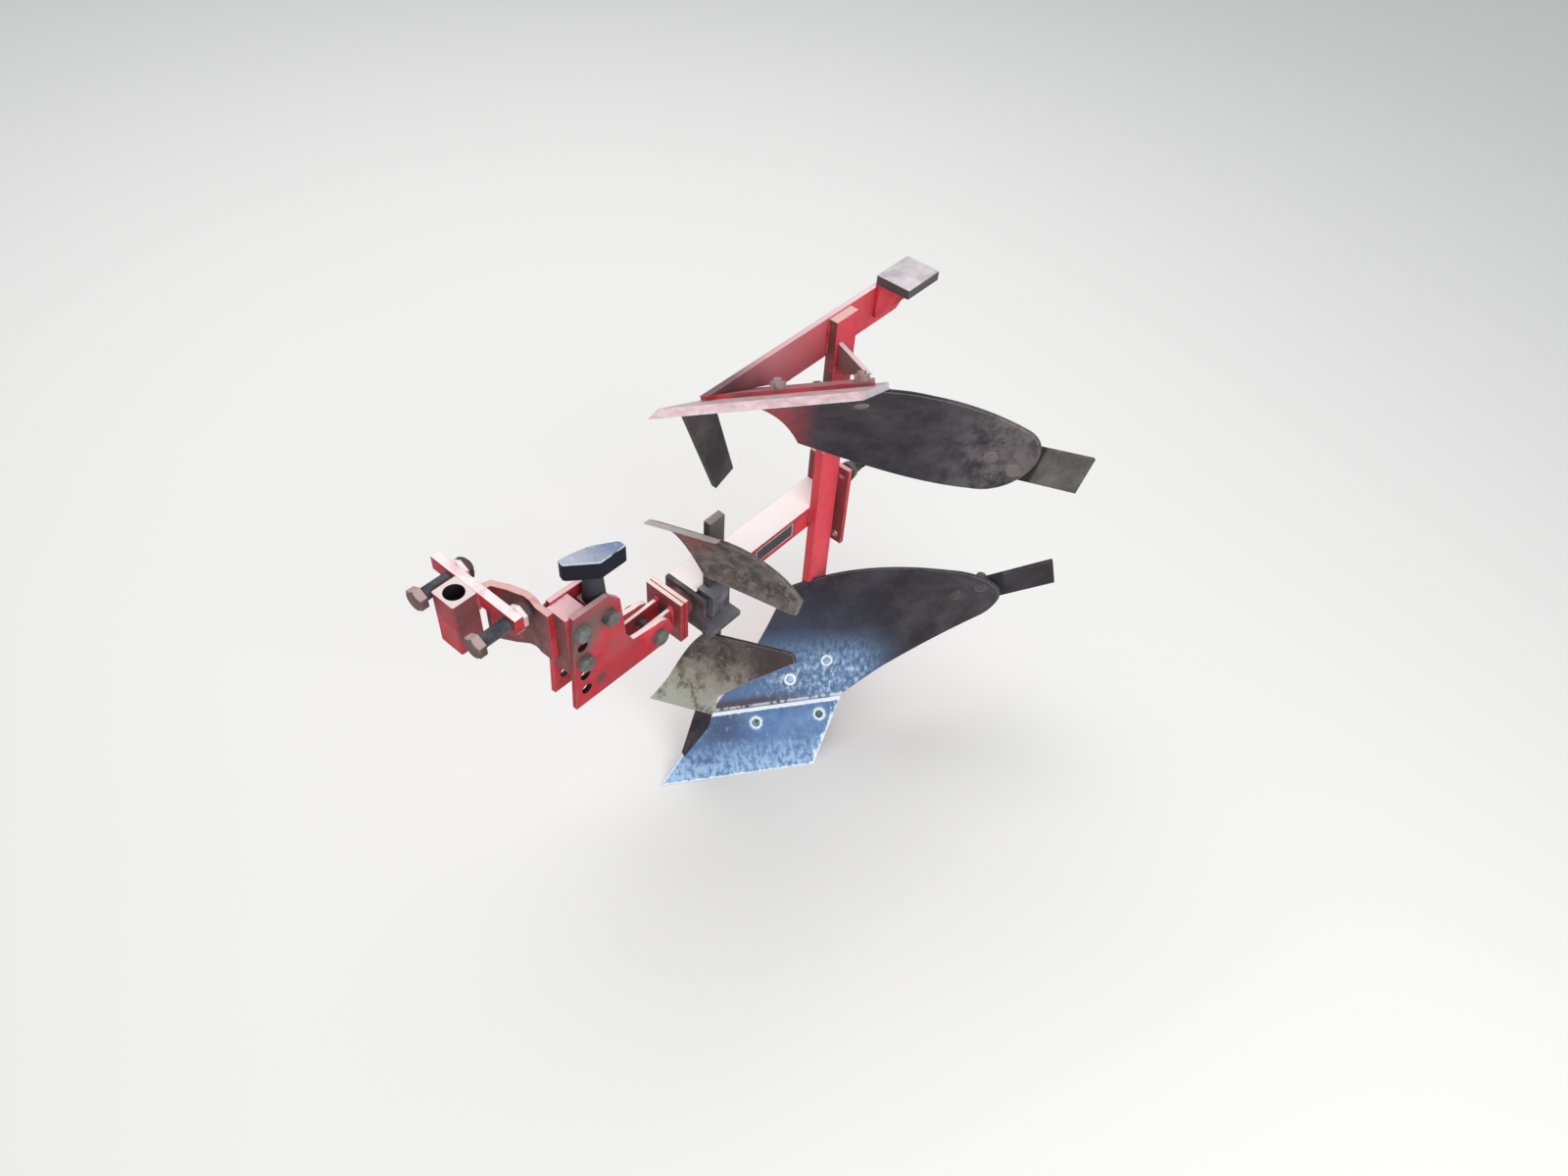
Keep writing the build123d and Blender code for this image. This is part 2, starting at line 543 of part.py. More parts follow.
def strip_face(arc, d0, d1):
    """Section between two depths behind an arc."""
    f0, f1, f2 = arc_offset(arc, d0)
    b0, b1, b2 = arc_offset(arc, d1)
    return make_face([ThreePointArc(f0, f1, f2), Line(f2, b2), ThreePointArc(b2, b1, b0), Line(b0, f0)])


def ruled_sheet(d0, d1):
    """Sheet between two depths behind the mouldboard's working face."""
    return loft([strip_face(SHIN_ARC, d0, d1), strip_face(WING_ARC, d0, d1)], ruled=True)


def face_plane(down, out):
    """Plane on the mouldboard's working face, its normal into the sheet."""
    shin = ThreePointArc(*arc_offset(SHIN_ARC, 0))
    wing = ThreePointArc(*arc_offset(WING_ARC, 0))
    reach = wing @ down - shin @ down
    fall = (shin % down) * (1 - out) + (wing % down) * out
    return Plane(origin=shin @ down + reach * out, x_dir=reach, z_dir=reach.cross(fall))


# Mouldboard: a sheet ruled between an arc at the landside and an arc at the wing
joint_v = SHARE_WIDE + JOINT_GAP
above_share = share_prism([(-FAR, joint_v), (FAR, joint_v), (FAR, FAR), (-FAR, FAR)], -FAR, FAR)
mould_room = ruled_sheet(-SOIL_ROOM, MOULD_THICK + SEAT_GAP) & prism_yz(MOULD_OUTLINE, -FAR, FAR)
mould = ruled_sheet(0, MOULD_THICK) & prism_yz(MOULD_OUTLINE, -FAR, FAR)
mould = mould & above_share
frog_bolt_planes = [face_plane(*at) for at in FROG_BOLTS]
tail_bolt_planes = [face_plane(*at) for at in TAIL_BOLTS]
for plane in frog_bolt_planes + tail_bolt_planes:
    mould -= bolt_sink(plane)
pieces["mouldboard_upper"] = mould

# Frog: a seat behind the share and a seat behind the mouldboard, in one casting
frog_back = SHARE_THICK + FROG_THICK
frog_depth = MOULD_THICK + SEAT_GAP + FROG_THICK
frog_high_v = SHARE_WIDE + FROG_RISE
frog = share_prism([(FROG_IN_U, FROG_LOW_V), (FROG_OUT_U, FROG_LOW_V), (FROG_OUT_U + 16, frog_high_v),
                    (FROG_IN_U + 20, frog_high_v)], SHARE_THICK, frog_back)
clear_sheet = ruled_sheet(-SOIL_ROOM, MOULD_THICK + SEAT_GAP) & above_share
frog_seat = ruled_sheet(MOULD_THICK + SEAT_GAP, frog_depth)
frog_seat = frog_seat & prism_yz(FROG_SEAT, -FAR, FAR)
frog = (frog - clear_sheet) + (frog_seat & above_share)
for plane in share_bolt_planes + frog_bolt_planes:
    frog -= bolt_hole(plane)
pieces["frog_upper"] = frog

# Landside bar, its front end cut to the back of the frog
landside_low = LANDSIDE_EDGE - LANDSIDE_WIDE
landside = prism_xz([(LANDSIDE_REAR, LANDSIDE_EDGE), (SHARE_TIP[0], LANDSIDE_EDGE),
                     (SHARE_TIP[0], landside_low), (LANDSIDE_REAR + 1.5 * LANDSIDE_CORNER, landside_low),
                     (LANDSIDE_REAR, landside_low + LANDSIDE_CORNER)], 0, LANDSIDE_THICK)
front_half = share_prism([(-FAR, -FAR), (FAR, -FAR), (FAR, FAR), (-FAR, FAR)], -FAR, frog_back)
frog_room = ruled_sheet(-SOIL_ROOM, frog_depth + SEAT_GAP)
pieces["landside_upper"] = landside - front_half - frog_room

# Leg: one flat bar from the upper landside to the lower, drawn to its middle here
leg = box(LEG_REAR, LEG_FRONT, LANDSIDE_THICK, LANDSIDE_THICK + LEG_THICK, -HALF_HEIGHT, LEG_END)
upper_leg = leg - mould_room

# Brace between the leg and the back of the mouldboard
brace_front = LEG_FRONT - BRACE_SET
brace = prism_yz(BRACE_OUTLINE, brace_front - BRACE_THICK, brace_front)
pieces["brace_upper"] = brace - frog_room - front_half

# Heel shoe: an angle on the landside that slides on the furrow floor
heel = box(HEEL_REAR, HEEL_FRONT, LANDSIDE_THICK, HEEL_WIDE, -HEEL_THICK, 0)
heel += box(HEEL_REAR, HEEL_FRONT, LANDSIDE_THICK, LANDSIDE_THICK + HEEL_LUG,
            landside_low + HEEL_LUG_UP, -HEEL_THICK)
pieces["heel_shoe_upper"] = heel

# Knife standing on the share in front of the landside
knife = prism_xz(KNIFE_OUTLINE, -KNIFE_THICK / 2, KNIFE_THICK / 2)
knife -= share_prism([(-FAR, -FAR), (FAR, -FAR), (FAR, joint_v + 40), (-FAR, joint_v + 40)], 0, FAR)
pieces["knife_upper"] = knife

# Tail extension bar bolted behind the wing of the mouldboard
tail_dir = Vector(*TAIL_RUN).normalized()
tail_up = Vector(*TAIL_RISE)
tail_up = (tail_up - tail_dir * tail_up.dot(tail_dir)).normalized()
tail_plane = Plane(origin=TAIL_AT, x_dir=tail_dir, z_dir=tail_dir.cross(tail_up))
tail_face = outline((TAIL_INNER, TAIL_TAPER - TAIL_HALF), (TAIL_OUTER, -TAIL_HALF), (TAIL_OUTER, TAIL_HALF),
                    (TAIL_INNER, TAIL_HALF - TAIL_TAPER))
tail = tail_plane.location * extrude(tail_face, TAIL_THICK)
tail = tail - ruled_sheet(-SOIL_ROOM, MOULD_THICK + SEAT_GAP)
for plane in tail_bolt_planes:
    tail -= bolt_hole(plane)
pieces["tail_extension_upper"] = tail

# Plough bolts through the share, the mouldboard and what lies behind them
bolts = [plough_bolt(plane, frog_back) for plane in share_bolt_planes]
bolts += [plough_bolt(plane, frog_depth + 1) for plane in frog_bolt_planes]
bolts += [plough_bolt(plane, MOULD_THICK + SEAT_GAP + TAIL_THICK + 1) for plane in tail_bolt_planes]
pieces["plough_bolts_upper"] = Compound(bolts)

# The upper body goes up to its height and the lower body mirrors it
at_height = Location((0, 0, HALF_HEIGHT))
body_names = ("share", "mouldboard", "frog", "landside", "brace", "heel_shoe", "knife", "tail_extension",
              "plough_bolts")
for name in body_names:
    pieces[name + "_upper"] = at_height * pieces[name + "_upper"]
    pieces[name + "_lower"] = lower(pieces[name + "_upper"])
upper_leg = at_height * upper_leg
pieces["leg"] = upper_leg + lower(upper_leg)

# Skimmer bar on the left face of the beam, its front edge ground to the skimmers' backs
bar_left = beam_left + BAR_THICK
skim_run = Vector(*SKIM_RUN).normalized()
skim_room = extrude(strip_face(SKIM_ARC, -SOIL_ROOM, SKIM_THICK + SEAT_GAP), SKIM_LONG, dir=skim_run)
bar = box(BAR_REAR, BAR_FRONT, beam_left, bar_left, -BAR_HALF, BAR_HALF)
pieces["skimmer_bar"] = bar - skim_room - lower(skim_room)

# Clamp over the bar: a bridge with a pressure block above and a wide foot below
clamp_front = BAR_FRONT + CLAMP_WALL
clamp = box(BAR_REAR - CLAMP_WALL, clamp_front, beam_left, bar_left + 4, -CLAMP_HALF, CLAMP_HALF)
clamp += box(BAR_REAR + 7, clamp_front, bar_left, CLAMP_LEFT, -10, CLAMP_HALF)
clamp += box(BAR_REAR - 18, BEAM_FRONT, beam_left, CLAMP_LEFT + 2, -CLAMP_HALF - CLAMP_FOOT, -CLAMP_HALF)
clamp -= box(BAR_REAR, BAR_FRONT, beam_left - 5, bar_left, -BAR_HALF, BAR_HALF)
pieces["skimmer_clamp"] = clamp

# Skimmers: small mouldboards rolled to one radius
skimmer = extrude(strip_face(SKIM_ARC, 0, SKIM_THICK), SKIM_LONG, dir=skim_run)
pieces["skimmer_upper"] = skimmer & prism_yz(SKIM_OUTLINE, 0, FAR)
pieces["skimmer_lower"] = lower(pieces["skimmer_upper"])

# Everything is set to the hitch bore and written out
home = Location((-socket_x, -socket_y, -SOCKET_TOP))
os.makedirs("parts", exist_ok=True)
for name, piece in pieces.items():
    export_step(home * piece, f"parts/{name}.step")
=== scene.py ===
from math import cos, pi, radians, sin

import bpy
import numpy as np
from mathutils import Matrix, Vector


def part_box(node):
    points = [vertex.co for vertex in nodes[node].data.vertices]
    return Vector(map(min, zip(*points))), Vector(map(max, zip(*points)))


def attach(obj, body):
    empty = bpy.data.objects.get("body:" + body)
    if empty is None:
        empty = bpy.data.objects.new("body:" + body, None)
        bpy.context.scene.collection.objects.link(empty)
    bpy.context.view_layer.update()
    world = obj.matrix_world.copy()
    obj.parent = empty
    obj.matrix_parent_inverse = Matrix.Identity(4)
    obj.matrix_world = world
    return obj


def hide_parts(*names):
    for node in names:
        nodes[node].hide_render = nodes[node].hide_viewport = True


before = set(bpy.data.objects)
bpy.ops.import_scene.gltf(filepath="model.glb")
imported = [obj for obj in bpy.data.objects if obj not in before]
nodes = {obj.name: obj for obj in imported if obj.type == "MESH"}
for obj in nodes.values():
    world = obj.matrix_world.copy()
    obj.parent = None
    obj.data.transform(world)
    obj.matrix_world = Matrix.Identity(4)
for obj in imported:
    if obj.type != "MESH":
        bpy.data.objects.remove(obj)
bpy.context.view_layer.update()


# Camera: the place, directions and lens of the photograph, which looks down on
# the plough from its front left.
CAMERA_AT = (0.5511, 0.9471, 1.1571)
CAMERA_RIGHT = (-0.64898, 0.75846, 0.05973)
CAMERA_DOWN = (0.53300, 0.51006, -0.67604)
LENS_MM = 27.07
SENSOR_MM = 36.0
camera_data = bpy.data.cameras.new("camera")
camera_data.lens = LENS_MM
camera_data.sensor_width = SENSOR_MM
camera = bpy.data.objects.new("camera", camera_data)
to_right = Vector(CAMERA_RIGHT).normalized()
to_back = to_right.cross(-Vector(CAMERA_DOWN)).normalized()
turned = Matrix((to_right, to_back.cross(to_right), to_back)).transposed()
camera.matrix_world = Matrix.Translation(CAMERA_AT) @ turned.to_4x4()
bpy.context.scene.collection.objects.link(camera)
bpy.context.scene.camera = camera
bpy.context.scene.view_settings.view_transform = "Standard"


# Floor: pale studio floor, level with the cutting edge of the lower share and
# the sole of its heel shoe.
FLOOR_HALF = 8.0
FLOOR_COLOUR = (0.82, 0.81, 0.79, 1)
FLOOR_ROUGH = 0.9


def material(name):
    """Node material and its tree and shader, ready for wiring."""
    made = bpy.data.materials.new(name)
    made.use_nodes = True
    return made, made.node_tree, made.node_tree.nodes["Principled BSDF"]


floor_z = min(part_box("share_lower")[0].z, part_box("heel_shoe_lower")[0].z)
floor_mesh = bpy.data.meshes.new("floor")
corners = np.array([(-1, -1), (1, -1), (1, 1), (-1, 1)]) * FLOOR_HALF
floor_mesh.from_pydata([(x, y, floor_z) for x, y in corners], [], [(0, 1, 2, 3)])
floor = bpy.data.objects.new("floor", floor_mesh)
bpy.context.scene.collection.objects.link(floor)
floor_material, tree, shader = material("floor_paper")
shader.inputs["Base Color"].default_value = FLOOR_COLOUR
shader.inputs["Roughness"].default_value = FLOOR_ROUGH
floor_mesh.materials.append(floor_material)


# Light: an even pale surround, a broad soft lamp high behind the plough and a
# second one on the camera's side, each with its name, place, width and watts.
SURROUND = 0.55
SURROUND_COLOUR = (0.94, 0.97, 1.0, 1)
LAMPS_AIM = (-0.5, 0, -0.2)
LAMPS = (
    ("sky", (-0.9, -1.0, 2.6), 3.2, 62.0),
    ("fill", (0.4, 2.6, 1.3), 2.2, 42.0),
)
world = bpy.data.worlds.new("surround")
world.use_nodes = True
world.node_tree.nodes["Background"].inputs["Color"].default_value = SURROUND_COLOUR
world.node_tree.nodes["Background"].inputs["Strength"].default_value = SURROUND
bpy.context.scene.world = world
for name, at, width, power in LAMPS:
    lamp_data = bpy.data.lights.new(name, "AREA")
    lamp_data.shape = "DISK"
    lamp_data.size = width
    lamp_data.energy = power
    lamp = bpy.data.objects.new(name, lamp_data)
    lamp.location = at
    lamp.rotation_euler = (Vector(LAMPS_AIM) - Vector(at)).to_track_quat("-Z", "Y").to_euler()
    bpy.context.scene.collection.objects.link(lamp)


# Hitch socket and crossbar: a sawn square block and a flat bar welded together and painted red. The paint is
# grey-pink on top, bleached where the drawbar pin and the rain reach it and made paler there by painted
# light from above, and brown with soil on the left.
RED = (0.46, 0.016, 0.030, 1)
RED_BRIGHT = (0.76, 0.055, 0.080, 1)
SOIL = (0.13, 0.062, 0.062, 1)
RUBBED = (0.58, 0.30, 0.29, 1)
GREY_PINK = (0.70, 0.58, 0.575, 1)
PINK = (0.74, 0.45, 0.465, 1)
BORE_BLACK = (0.02, 0.015, 0.018, 1)
BORE_RADIUS = 0.0145
CLEAN_FOOT = 0.035
UP = (0, 0, 1)
DOWN = (0, 0, -1)
LEFT = (0, 1, 0)
FRONT = (1, 0, 0)
REAR = (-1, 0, 0)


def node(tree, kind, inputs=(), **settings):
    """Shader node with its settings and its inputs, each a value or another node's socket."""
    made = tree.nodes.new("ShaderNode" + kind)
    for key, value in settings.items():
        setattr(made, key, value)
    for key, value in dict(inputs).items():
        if isinstance(value, bpy.types.NodeSocket):
            tree.links.new(value, made.inputs[key])
        else:
            made.inputs[key].default_value = value
    return made


def noise(tree, scale, detail=4.0, rough=0.55, seed=0.0, stretch=(1, 1, 1)):
    """Cloudy pattern in 0 to 1 on the piece's own metres, moved by a seed."""
    place = node(tree, "TexCoord").outputs["Object"]
    spread = node(tree, "Mapping", {"Vector": place, "Location": (seed, seed * 0.7, -seed),
                                    "Scale": stretch})
    return node(tree, "TexNoise", {"Vector": spread.outputs[0], "Scale": scale, "Detail": detail,
                                   "Roughness": rough}).outputs["Fac"]


def band(tree, value, low, high):
    """Value drawn out so that low becomes 0 and high becomes 1."""
    return node(tree, "MapRange", {0: value, 1: low, 2: high}, clamp=True).outputs[0]


def times(tree, a, b):
    """Product of two values."""
    return node(tree, "Math", {0: a, 1: b}, operation="MULTIPLY").outputs[0]


def plus(tree, a, factor, b):
    """The sum of b and a times a factor."""
    return node(tree, "Math", {0: a, 1: factor, 2: b}, operation="MULTIPLY_ADD").outputs[0]


def larger(tree, a, b):
    """The larger of two values."""
    return node(tree, "Math", {0: a, 1: b}, operation="MAXIMUM").outputs[0]


def blend(tree, share, below, above):
    """Colour below, covered by colour above as far as a value says."""
    mixed = node(tree, "Mix", data_type="RGBA")
    for socket, value in ((0, share), (6, below), (7, above)):
        if isinstance(value, bpy.types.NodeSocket):
            tree.links.new(value, mixed.inputs[socket])
        else:
            mixed.inputs[socket].default_value = value
    return mixed.outputs[2]


def run(tree, start, direction):
    """Metres from a place in a direction."""
    place = node(tree, "TexCoord").outputs["Object"]
    gone = node(tree, "VectorMath", {0: place, 1: start}, operation="SUBTRACT").outputs[0]
    return node(tree, "VectorMath", {0: gone, 1: direction}, operation="DOT_PRODUCT").outputs["Value"]


def near(tree, centre, radius, blur=0.3):
    """1 round a place and 0 beyond a radius in metres, with a soft and uneven rim."""
    place = node(tree, "TexCoord").outputs["Object"]
    away = node(tree, "VectorMath", {0: place, 1: centre}, operation="DISTANCE").outputs["Value"]
    pattern = noise(tree, 0.25 / radius, 4, 0.6)
    rim = node(tree, "MapRange", {0: pattern, 3: -blur * radius, 4: blur * radius})
    return band(tree, plus(tree, rim.outputs[0], 1, away), radius, radius * 0.4)


def off(tree, keep, centre):
    """Metres from a place, counted only along the axes that keep names with 1."""
    place = node(tree, "TexCoord").outputs["Object"]
    kept = node(tree, "VectorMath", {0: place, 1: keep}, operation="MULTIPLY").outputs[0]
    flat = tuple(k * c for k, c in zip(keep, centre))
    return node(tree, "VectorMath", {0: kept, 1: flat}, operation="DISTANCE").outputs["Value"]


def cover(tree, shader, share, colour):
    """Lays a colour over the one a shader has, as far as a value says."""
    under = shader.inputs["Base Color"].links[0].from_socket
    tree.links.new(blend(tree, share, under, colour), shader.inputs["Base Color"])


def facing(tree, direction, low, high):
    """How far the surface turns to a direction of the piece, drawn out from low to high."""
    normal = node(tree, "TexCoord").outputs["Normal"]
    toward = Vector(direction).normalized()
    dot = node(tree, "VectorMath", {0: normal, 1: toward}, operation="DOT_PRODUCT").outputs["Value"]
    return band(tree, dot, low, high)


def finish(tree, shader, colour, rough, bumps, depth, metal=0.0, round_by=0.0016, edge=None, wear=0.8,
           gaps=0.38, gloss=0.3):
    """Colour with worn edges, roughness, small bumps and eased edges, put on a shader.

    Edges are worn where a cloudy pattern is above the level called gaps."""
    eased = node(tree, "Bevel", {"Radius": round_by}, samples=3).outputs[0]
    if edge:
        flat = node(tree, "NewGeometry").outputs["True Normal"]
        turn = node(tree, "VectorMath", {0: eased, 1: flat}, operation="DOT_PRODUCT").outputs["Value"]
        rubbed = band(tree, noise(tree, 45, 4, 0.6), gaps, gaps + 0.18)
        worn = times(tree, band(tree, turn, 0.985, 0.90), rubbed)
        colour = blend(tree, times(tree, worn, wear), colour, edge)
    for socket, value in (("Base Color", colour), ("Roughness", rough), ("Metallic", metal)):
        if isinstance(value, bpy.types.NodeSocket):
            tree.links.new(value, shader.inputs[socket])
        else:
            shader.inputs[socket].default_value = value
    bump = node(tree, "Bump", {"Height": bumps, "Distance": depth, "Strength": 0.6, "Normal": eased})
    tree.links.new(bump.outputs[0], shader.inputs["Normal"])
    shader.inputs["Specular IOR Level"].default_value = gloss


def red_paint(name, seed, top, top_cover=0.95, soil=0.4, side_soil_and_shade=None, marks=(), fresh=0.0):
    """Red paint, bleached on faces turned up and soiled in clouds, on a side and in marks. A pale top colour
    is painted light from above as well as bleaching, and the soiled side of the height block is painted
    shade as well as soil.

    A mark is a place, a radius in metres, a colour and how far it covers."""
    made, tree, shader = material(name)
    fine = noise(tree, 60, 5, 0.65, seed=seed + 3)
    bright = band(tree, noise(tree, 9, seed=seed), 0.46 - 0.3 * fresh, 0.66 - 0.3 * fresh)
    colour = blend(tree, bright, RED, RED_BRIGHT)
    dirty = times(tree, band(tree, noise(tree, 16, 6, 0.62, seed=seed + 7), 0.46, 0.64), soil)
    if side_soil_and_shade:
        side = times(tree, facing(tree, side_soil_and_shade[0], 0.5, 0.8), band(tree, fine, 0.30, 0.46))
        dirty = larger(tree, dirty, times(tree, side, side_soil_and_shade[1]))
    colour = blend(tree, dirty, colour, SOIL)
    # Faces turned up take the top colour: bleaching, and painted light from above where that colour is pale.
    up = facing(tree, UP, 0.55, 0.85)
    patches = noise(tree, 24, 5, 0.6, seed=seed + 11)
    bleached_and_sky_lit = times(tree, up, band(tree, patches, 0.72 - 0.6 * top_cover, 0.78 - 0.4 * top_cover))
    colour = blend(tree, bleached_and_sky_lit, colour, top)
    specks = band(tree, noise(tree, 150, 2, 0.5, seed=seed + 5), 0.64, 0.72)
    specks = times(tree, specks, band(tree, up, 1, 0))
    colour = blend(tree, times(tree, specks, 0.45), colour, SOIL)
    for place, radius, tint, amount in marks:
        colour = blend(tree, times(tree, near(tree, place, radius), amount), colour, tint)
    finish(tree, shader, colour, band(tree, fine, -0.5, 1.3), fine, 0.0006, edge=RUBBED)
    return made, tree, shader


def dress(made, *names):
    """Puts a material on CAD nodes."""
    for name in names:
        nodes[name].data.materials.clear()
        nodes[name].data.materials.append(made)


socket_low, socket_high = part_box("hitch_socket")
socket_paint, tree, shader = red_paint("socket_paint", 1.0, GREY_PINK, side_soil_and_shade=(LEFT, 0.85))
low_down = times(tree, band(tree, run(tree, (0, 0, socket_low.z), UP), CLEAN_FOOT, 0.0), 0.7)
cover(tree, shader, low_down, RED)
# The bore's wall is painted black: painted shade inside the bore.
from_axis = off(tree, (1, 1, 0), (0, 0, 0))
in_bore = band(tree, from_axis, BORE_RADIUS + 0.0006, BORE_RADIUS + 0.0002)
cover(tree, shader, in_bore, BORE_BLACK)
dress(socket_paint, "hitch_socket")
bar_low, bar_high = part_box("hitch_crossbar")
PEELED = (0.84, 0.73, 0.73, 1)
PEELED_LEFT = 0.034
PEELED_RIGHT = 0.050
bar_paint, tree, shader = red_paint("crossbar_paint", 2.0, PINK, soil=0.25)
bare = band(tree, noise(tree, 28, 5, 0.62, seed=4), 0.40, 0.56)
ends = larger(tree, near(tree, (bar_high.x, bar_high.y, bar_high.z), PEELED_LEFT),
              near(tree, (bar_high.x, bar_low.y, bar_high.z), PEELED_RIGHT))
cover(tree, shader, times(tree, facing(tree, UP, 0.5, 0.8), larger(tree, bare, ends)), PEELED)
dress(bar_paint, "hitch_crossbar")


# Stop screws: two long hexagon screws in the crossbar, brown on the heads with
# rubbed flats, and dark bare threads. A nut on each stands behind the crossbar,
# with peeling paint on its front and bare brown steel beyond.
SCREW_D = 0.020
SCREW_PITCH = 0.0025
SCREW_CUT = 0.0012
SCREW_FLATS = 0.030
SCREW_HEAD = 0.013
NUT_PAINTED = 0.007
ROOTED = 0.001
HEX_COLUMNS = 48
TURN_RINGS = 7
THREAD_DARK = (0.050, 0.054, 0.064, 1)
THREAD_PALE = (0.13, 0.135, 0.15, 1)
HEAD_BROWN = (0.105, 0.060, 0.058, 1)
HEAD_RUST = (0.20, 0.128, 0.122, 1)
HEAD_PALE = (0.50, 0.36, 0.35, 1)
NUT_BROWN = (0.075, 0.048, 0.048, 1)


def lathe(rows, columns, centre, axis, flats=None, pitch=0.0, cut=0.0):
    """Closed surface of revolution with hexagon and threaded stretches.

    rows holds, for each ring, the distance along the axis, the radius, 1 for a ring that the
    hexagon limits and 1 for a threaded ring. The radius is the smaller of the ring's radius and
    the hexagon's, f / cos(a), where f is half the flats and a the angle to the nearest flat,
    less the thread's depth times (1 - cos(2 pi s / pitch - angle)) / 2. Two flats face along y
    where the axis is x, and along z where it is y."""
    rows = np.asarray(rows, float)
    angle = np.arange(columns) * 2 * pi / columns
    s, r, hexed, threaded = (rows[:, k:k + 1] for k in range(4))
    radius = r + 0 * angle
    if flats:
        to_flat = (angle + pi / 6) % (pi / 3) - pi / 6
        radius = np.where(hexed > 0, np.minimum(r, flats / 2 / np.cos(to_flat)), radius)
    if pitch:
        radius = radius - threaded * cut * (1 - np.cos(2 * pi * s / pitch - angle)) / 2
    axis = np.asarray(axis, float)
    side = np.cross(axis, UP if axis[0] else FRONT)
    other = np.cross(axis, side)
    points = (np.asarray(centre, float) + s[..., None] * axis + radius[..., None] * (
        np.cos(angle)[None, :, None] * side + np.sin(angle)[None, :, None] * other))
    return points, grid_faces(len(rows), columns)


def grid_faces(rings, columns):
    """Quads between neighbouring rings of a grid that closes round its columns."""
    ring, column = np.meshgrid(np.arange(rings - 1), np.arange(columns), indexing="ij")
    after = (column + 1) % columns
    return np.stack([ring * columns + column, ring * columns + after,
                     (ring + 1) * columns + after, (ring + 1) * columns + column], -1).reshape(-1, 4)


def build(name, parts, body, made, replaced=()):
    """Object made of grids of points and quads, riding on a CAD body."""
    points = [part[0].reshape(-1, 3) for part in parts]
    starts = np.cumsum([0] + [len(part) for part in points])
    quads = np.concatenate([part[1] + start for part, start in zip(parts, starts)])
    mesh = bpy.data.meshes.new(name)
    mesh.from_pydata(np.concatenate(points).tolist(), [], quads.tolist())
    mesh.validate()
    mesh.update()
    piece = bpy.data.objects.new(name, mesh)
    bpy.context.scene.collection.objects.link(piece)
    mesh.materials.append(made)
    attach(piece, body)
    if replaced:
        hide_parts(*replaced)


def head_rows(start, end, flats):
    """Rings of a hexagon head from its seat to its crown, with the corners chamfered at 30 degrees."""
    corner = flats / 2 / cos(pi / 6)
    drop = (corner - flats / 2) * 0.58
    step = 1 if end > start else -1
    return [(start, flats * 0.46, 0, 0), (start, corner, 1, 0), (end - step * drop, corner, 1, 0),
            (end, flats * 0.485, 0, 0), (end, 0, 0, 0)]


def hexagon(seat, end, flats, centre, axis):
    """Closed hexagon head or nut from its seat to its crown, which may lie either way along the axis."""
    rows = [(seat, 0, 0, 0)] + head_rows(seat, end, flats)
    points, quads = lathe(rows, HEX_COLUMNS, centre, axis, flats=flats)
    return points, (quads if end > seat else quads[:, ::-1])


def thread_rows(start, end, radius, pitch):
    """Rings of a threaded rod with a chamfered end at the start."""
    stations = np.arange(start + 0.001, end, pitch / TURN_RINGS)
    rows = [(start, 0, 0, 0), (start, radius * 0.82, 0, 0)]
    rows += [(s, radius, 0, 1) for s in stations]
    return rows + [(end, radius, 0, 0), (end, 0, 0, 0)]


def bolt_steel(name, seed, dark, light, top=None, edge=None):
    """Weathered bolt steel in two clouded colours, paler on faces turned up."""
    made, tree, shader = material(name)
    fine = noise(tree, 120, 5, 0.7, seed=seed + 3)
    colour = blend(tree, band(tree, noise(tree, 38, 5, 0.6, seed=seed), 0.40, 0.60), dark, light)
    colour = blend(tree, times(tree, band(tree, fine, 0.52, 0.7), 0.4), colour, dark)
    if top:
        colour = blend(tree, times(tree, facing(tree, UP, 0.4, 0.8), 0.85), colour, top)
    finish(tree, shader, colour, 0.6, fine, 0.0003, metal=0.25, round_by=0.0008, edge=edge)
    return made


screw_low, screw_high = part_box("hitch_screws")
nuts_low, nuts_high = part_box("hitch_nuts")
head_back = screw_high.x - SCREW_HEAD
thread_steel = bolt_steel("thread_steel", 1.0, THREAD_DARK, THREAD_PALE)
head_steel = bolt_steel("screw_head_steel", 2.0, HEAD_BROWN, HEAD_RUST, top=HEAD_PALE, edge=HEAD_PALE)
nut_paint, tree, shader = red_paint("hitch_nut_paint", 2.5, PEELED, soil=0.5)
cover(tree, shader, 0.55, PEELED)
behind_front = run(tree, (nuts_high.x, 0, 0), REAR)
cover(tree, shader, band(tree, behind_front, NUT_PAINTED, NUT_PAINTED + 0.0015), NUT_BROWN)
screw_z = (screw_low.z + screw_high.z) / 2
screw_ys = (screw_low.y + SCREW_FLATS / 2, screw_high.y - SCREW_FLATS / 2)
screw_rows = thread_rows(screw_low.x, head_back + ROOTED, SCREW_D / 2, SCREW_PITCH)
screw_axes = [(0, y, screw_z) for y in screw_ys]
shanks = [lathe(screw_rows, 30, at, FRONT, pitch=SCREW_PITCH, cut=SCREW_CUT) for at in screw_axes]
heads = [hexagon(head_back, screw_high.x, SCREW_FLATS, at, FRONT) for at in screw_axes]
stop_nuts = [hexagon(nuts_high.x, nuts_low.x, SCREW_FLATS, at, FRONT) for at in screw_axes]
build("stop_screw_shanks", shanks, "headstock", thread_steel, ["hitch_screws"])
build("stop_screw_heads", heads, "headstock", head_steel)
build("stop_screw_nuts", stop_nuts, "headstock", nut_paint, ["hitch_nuts"])


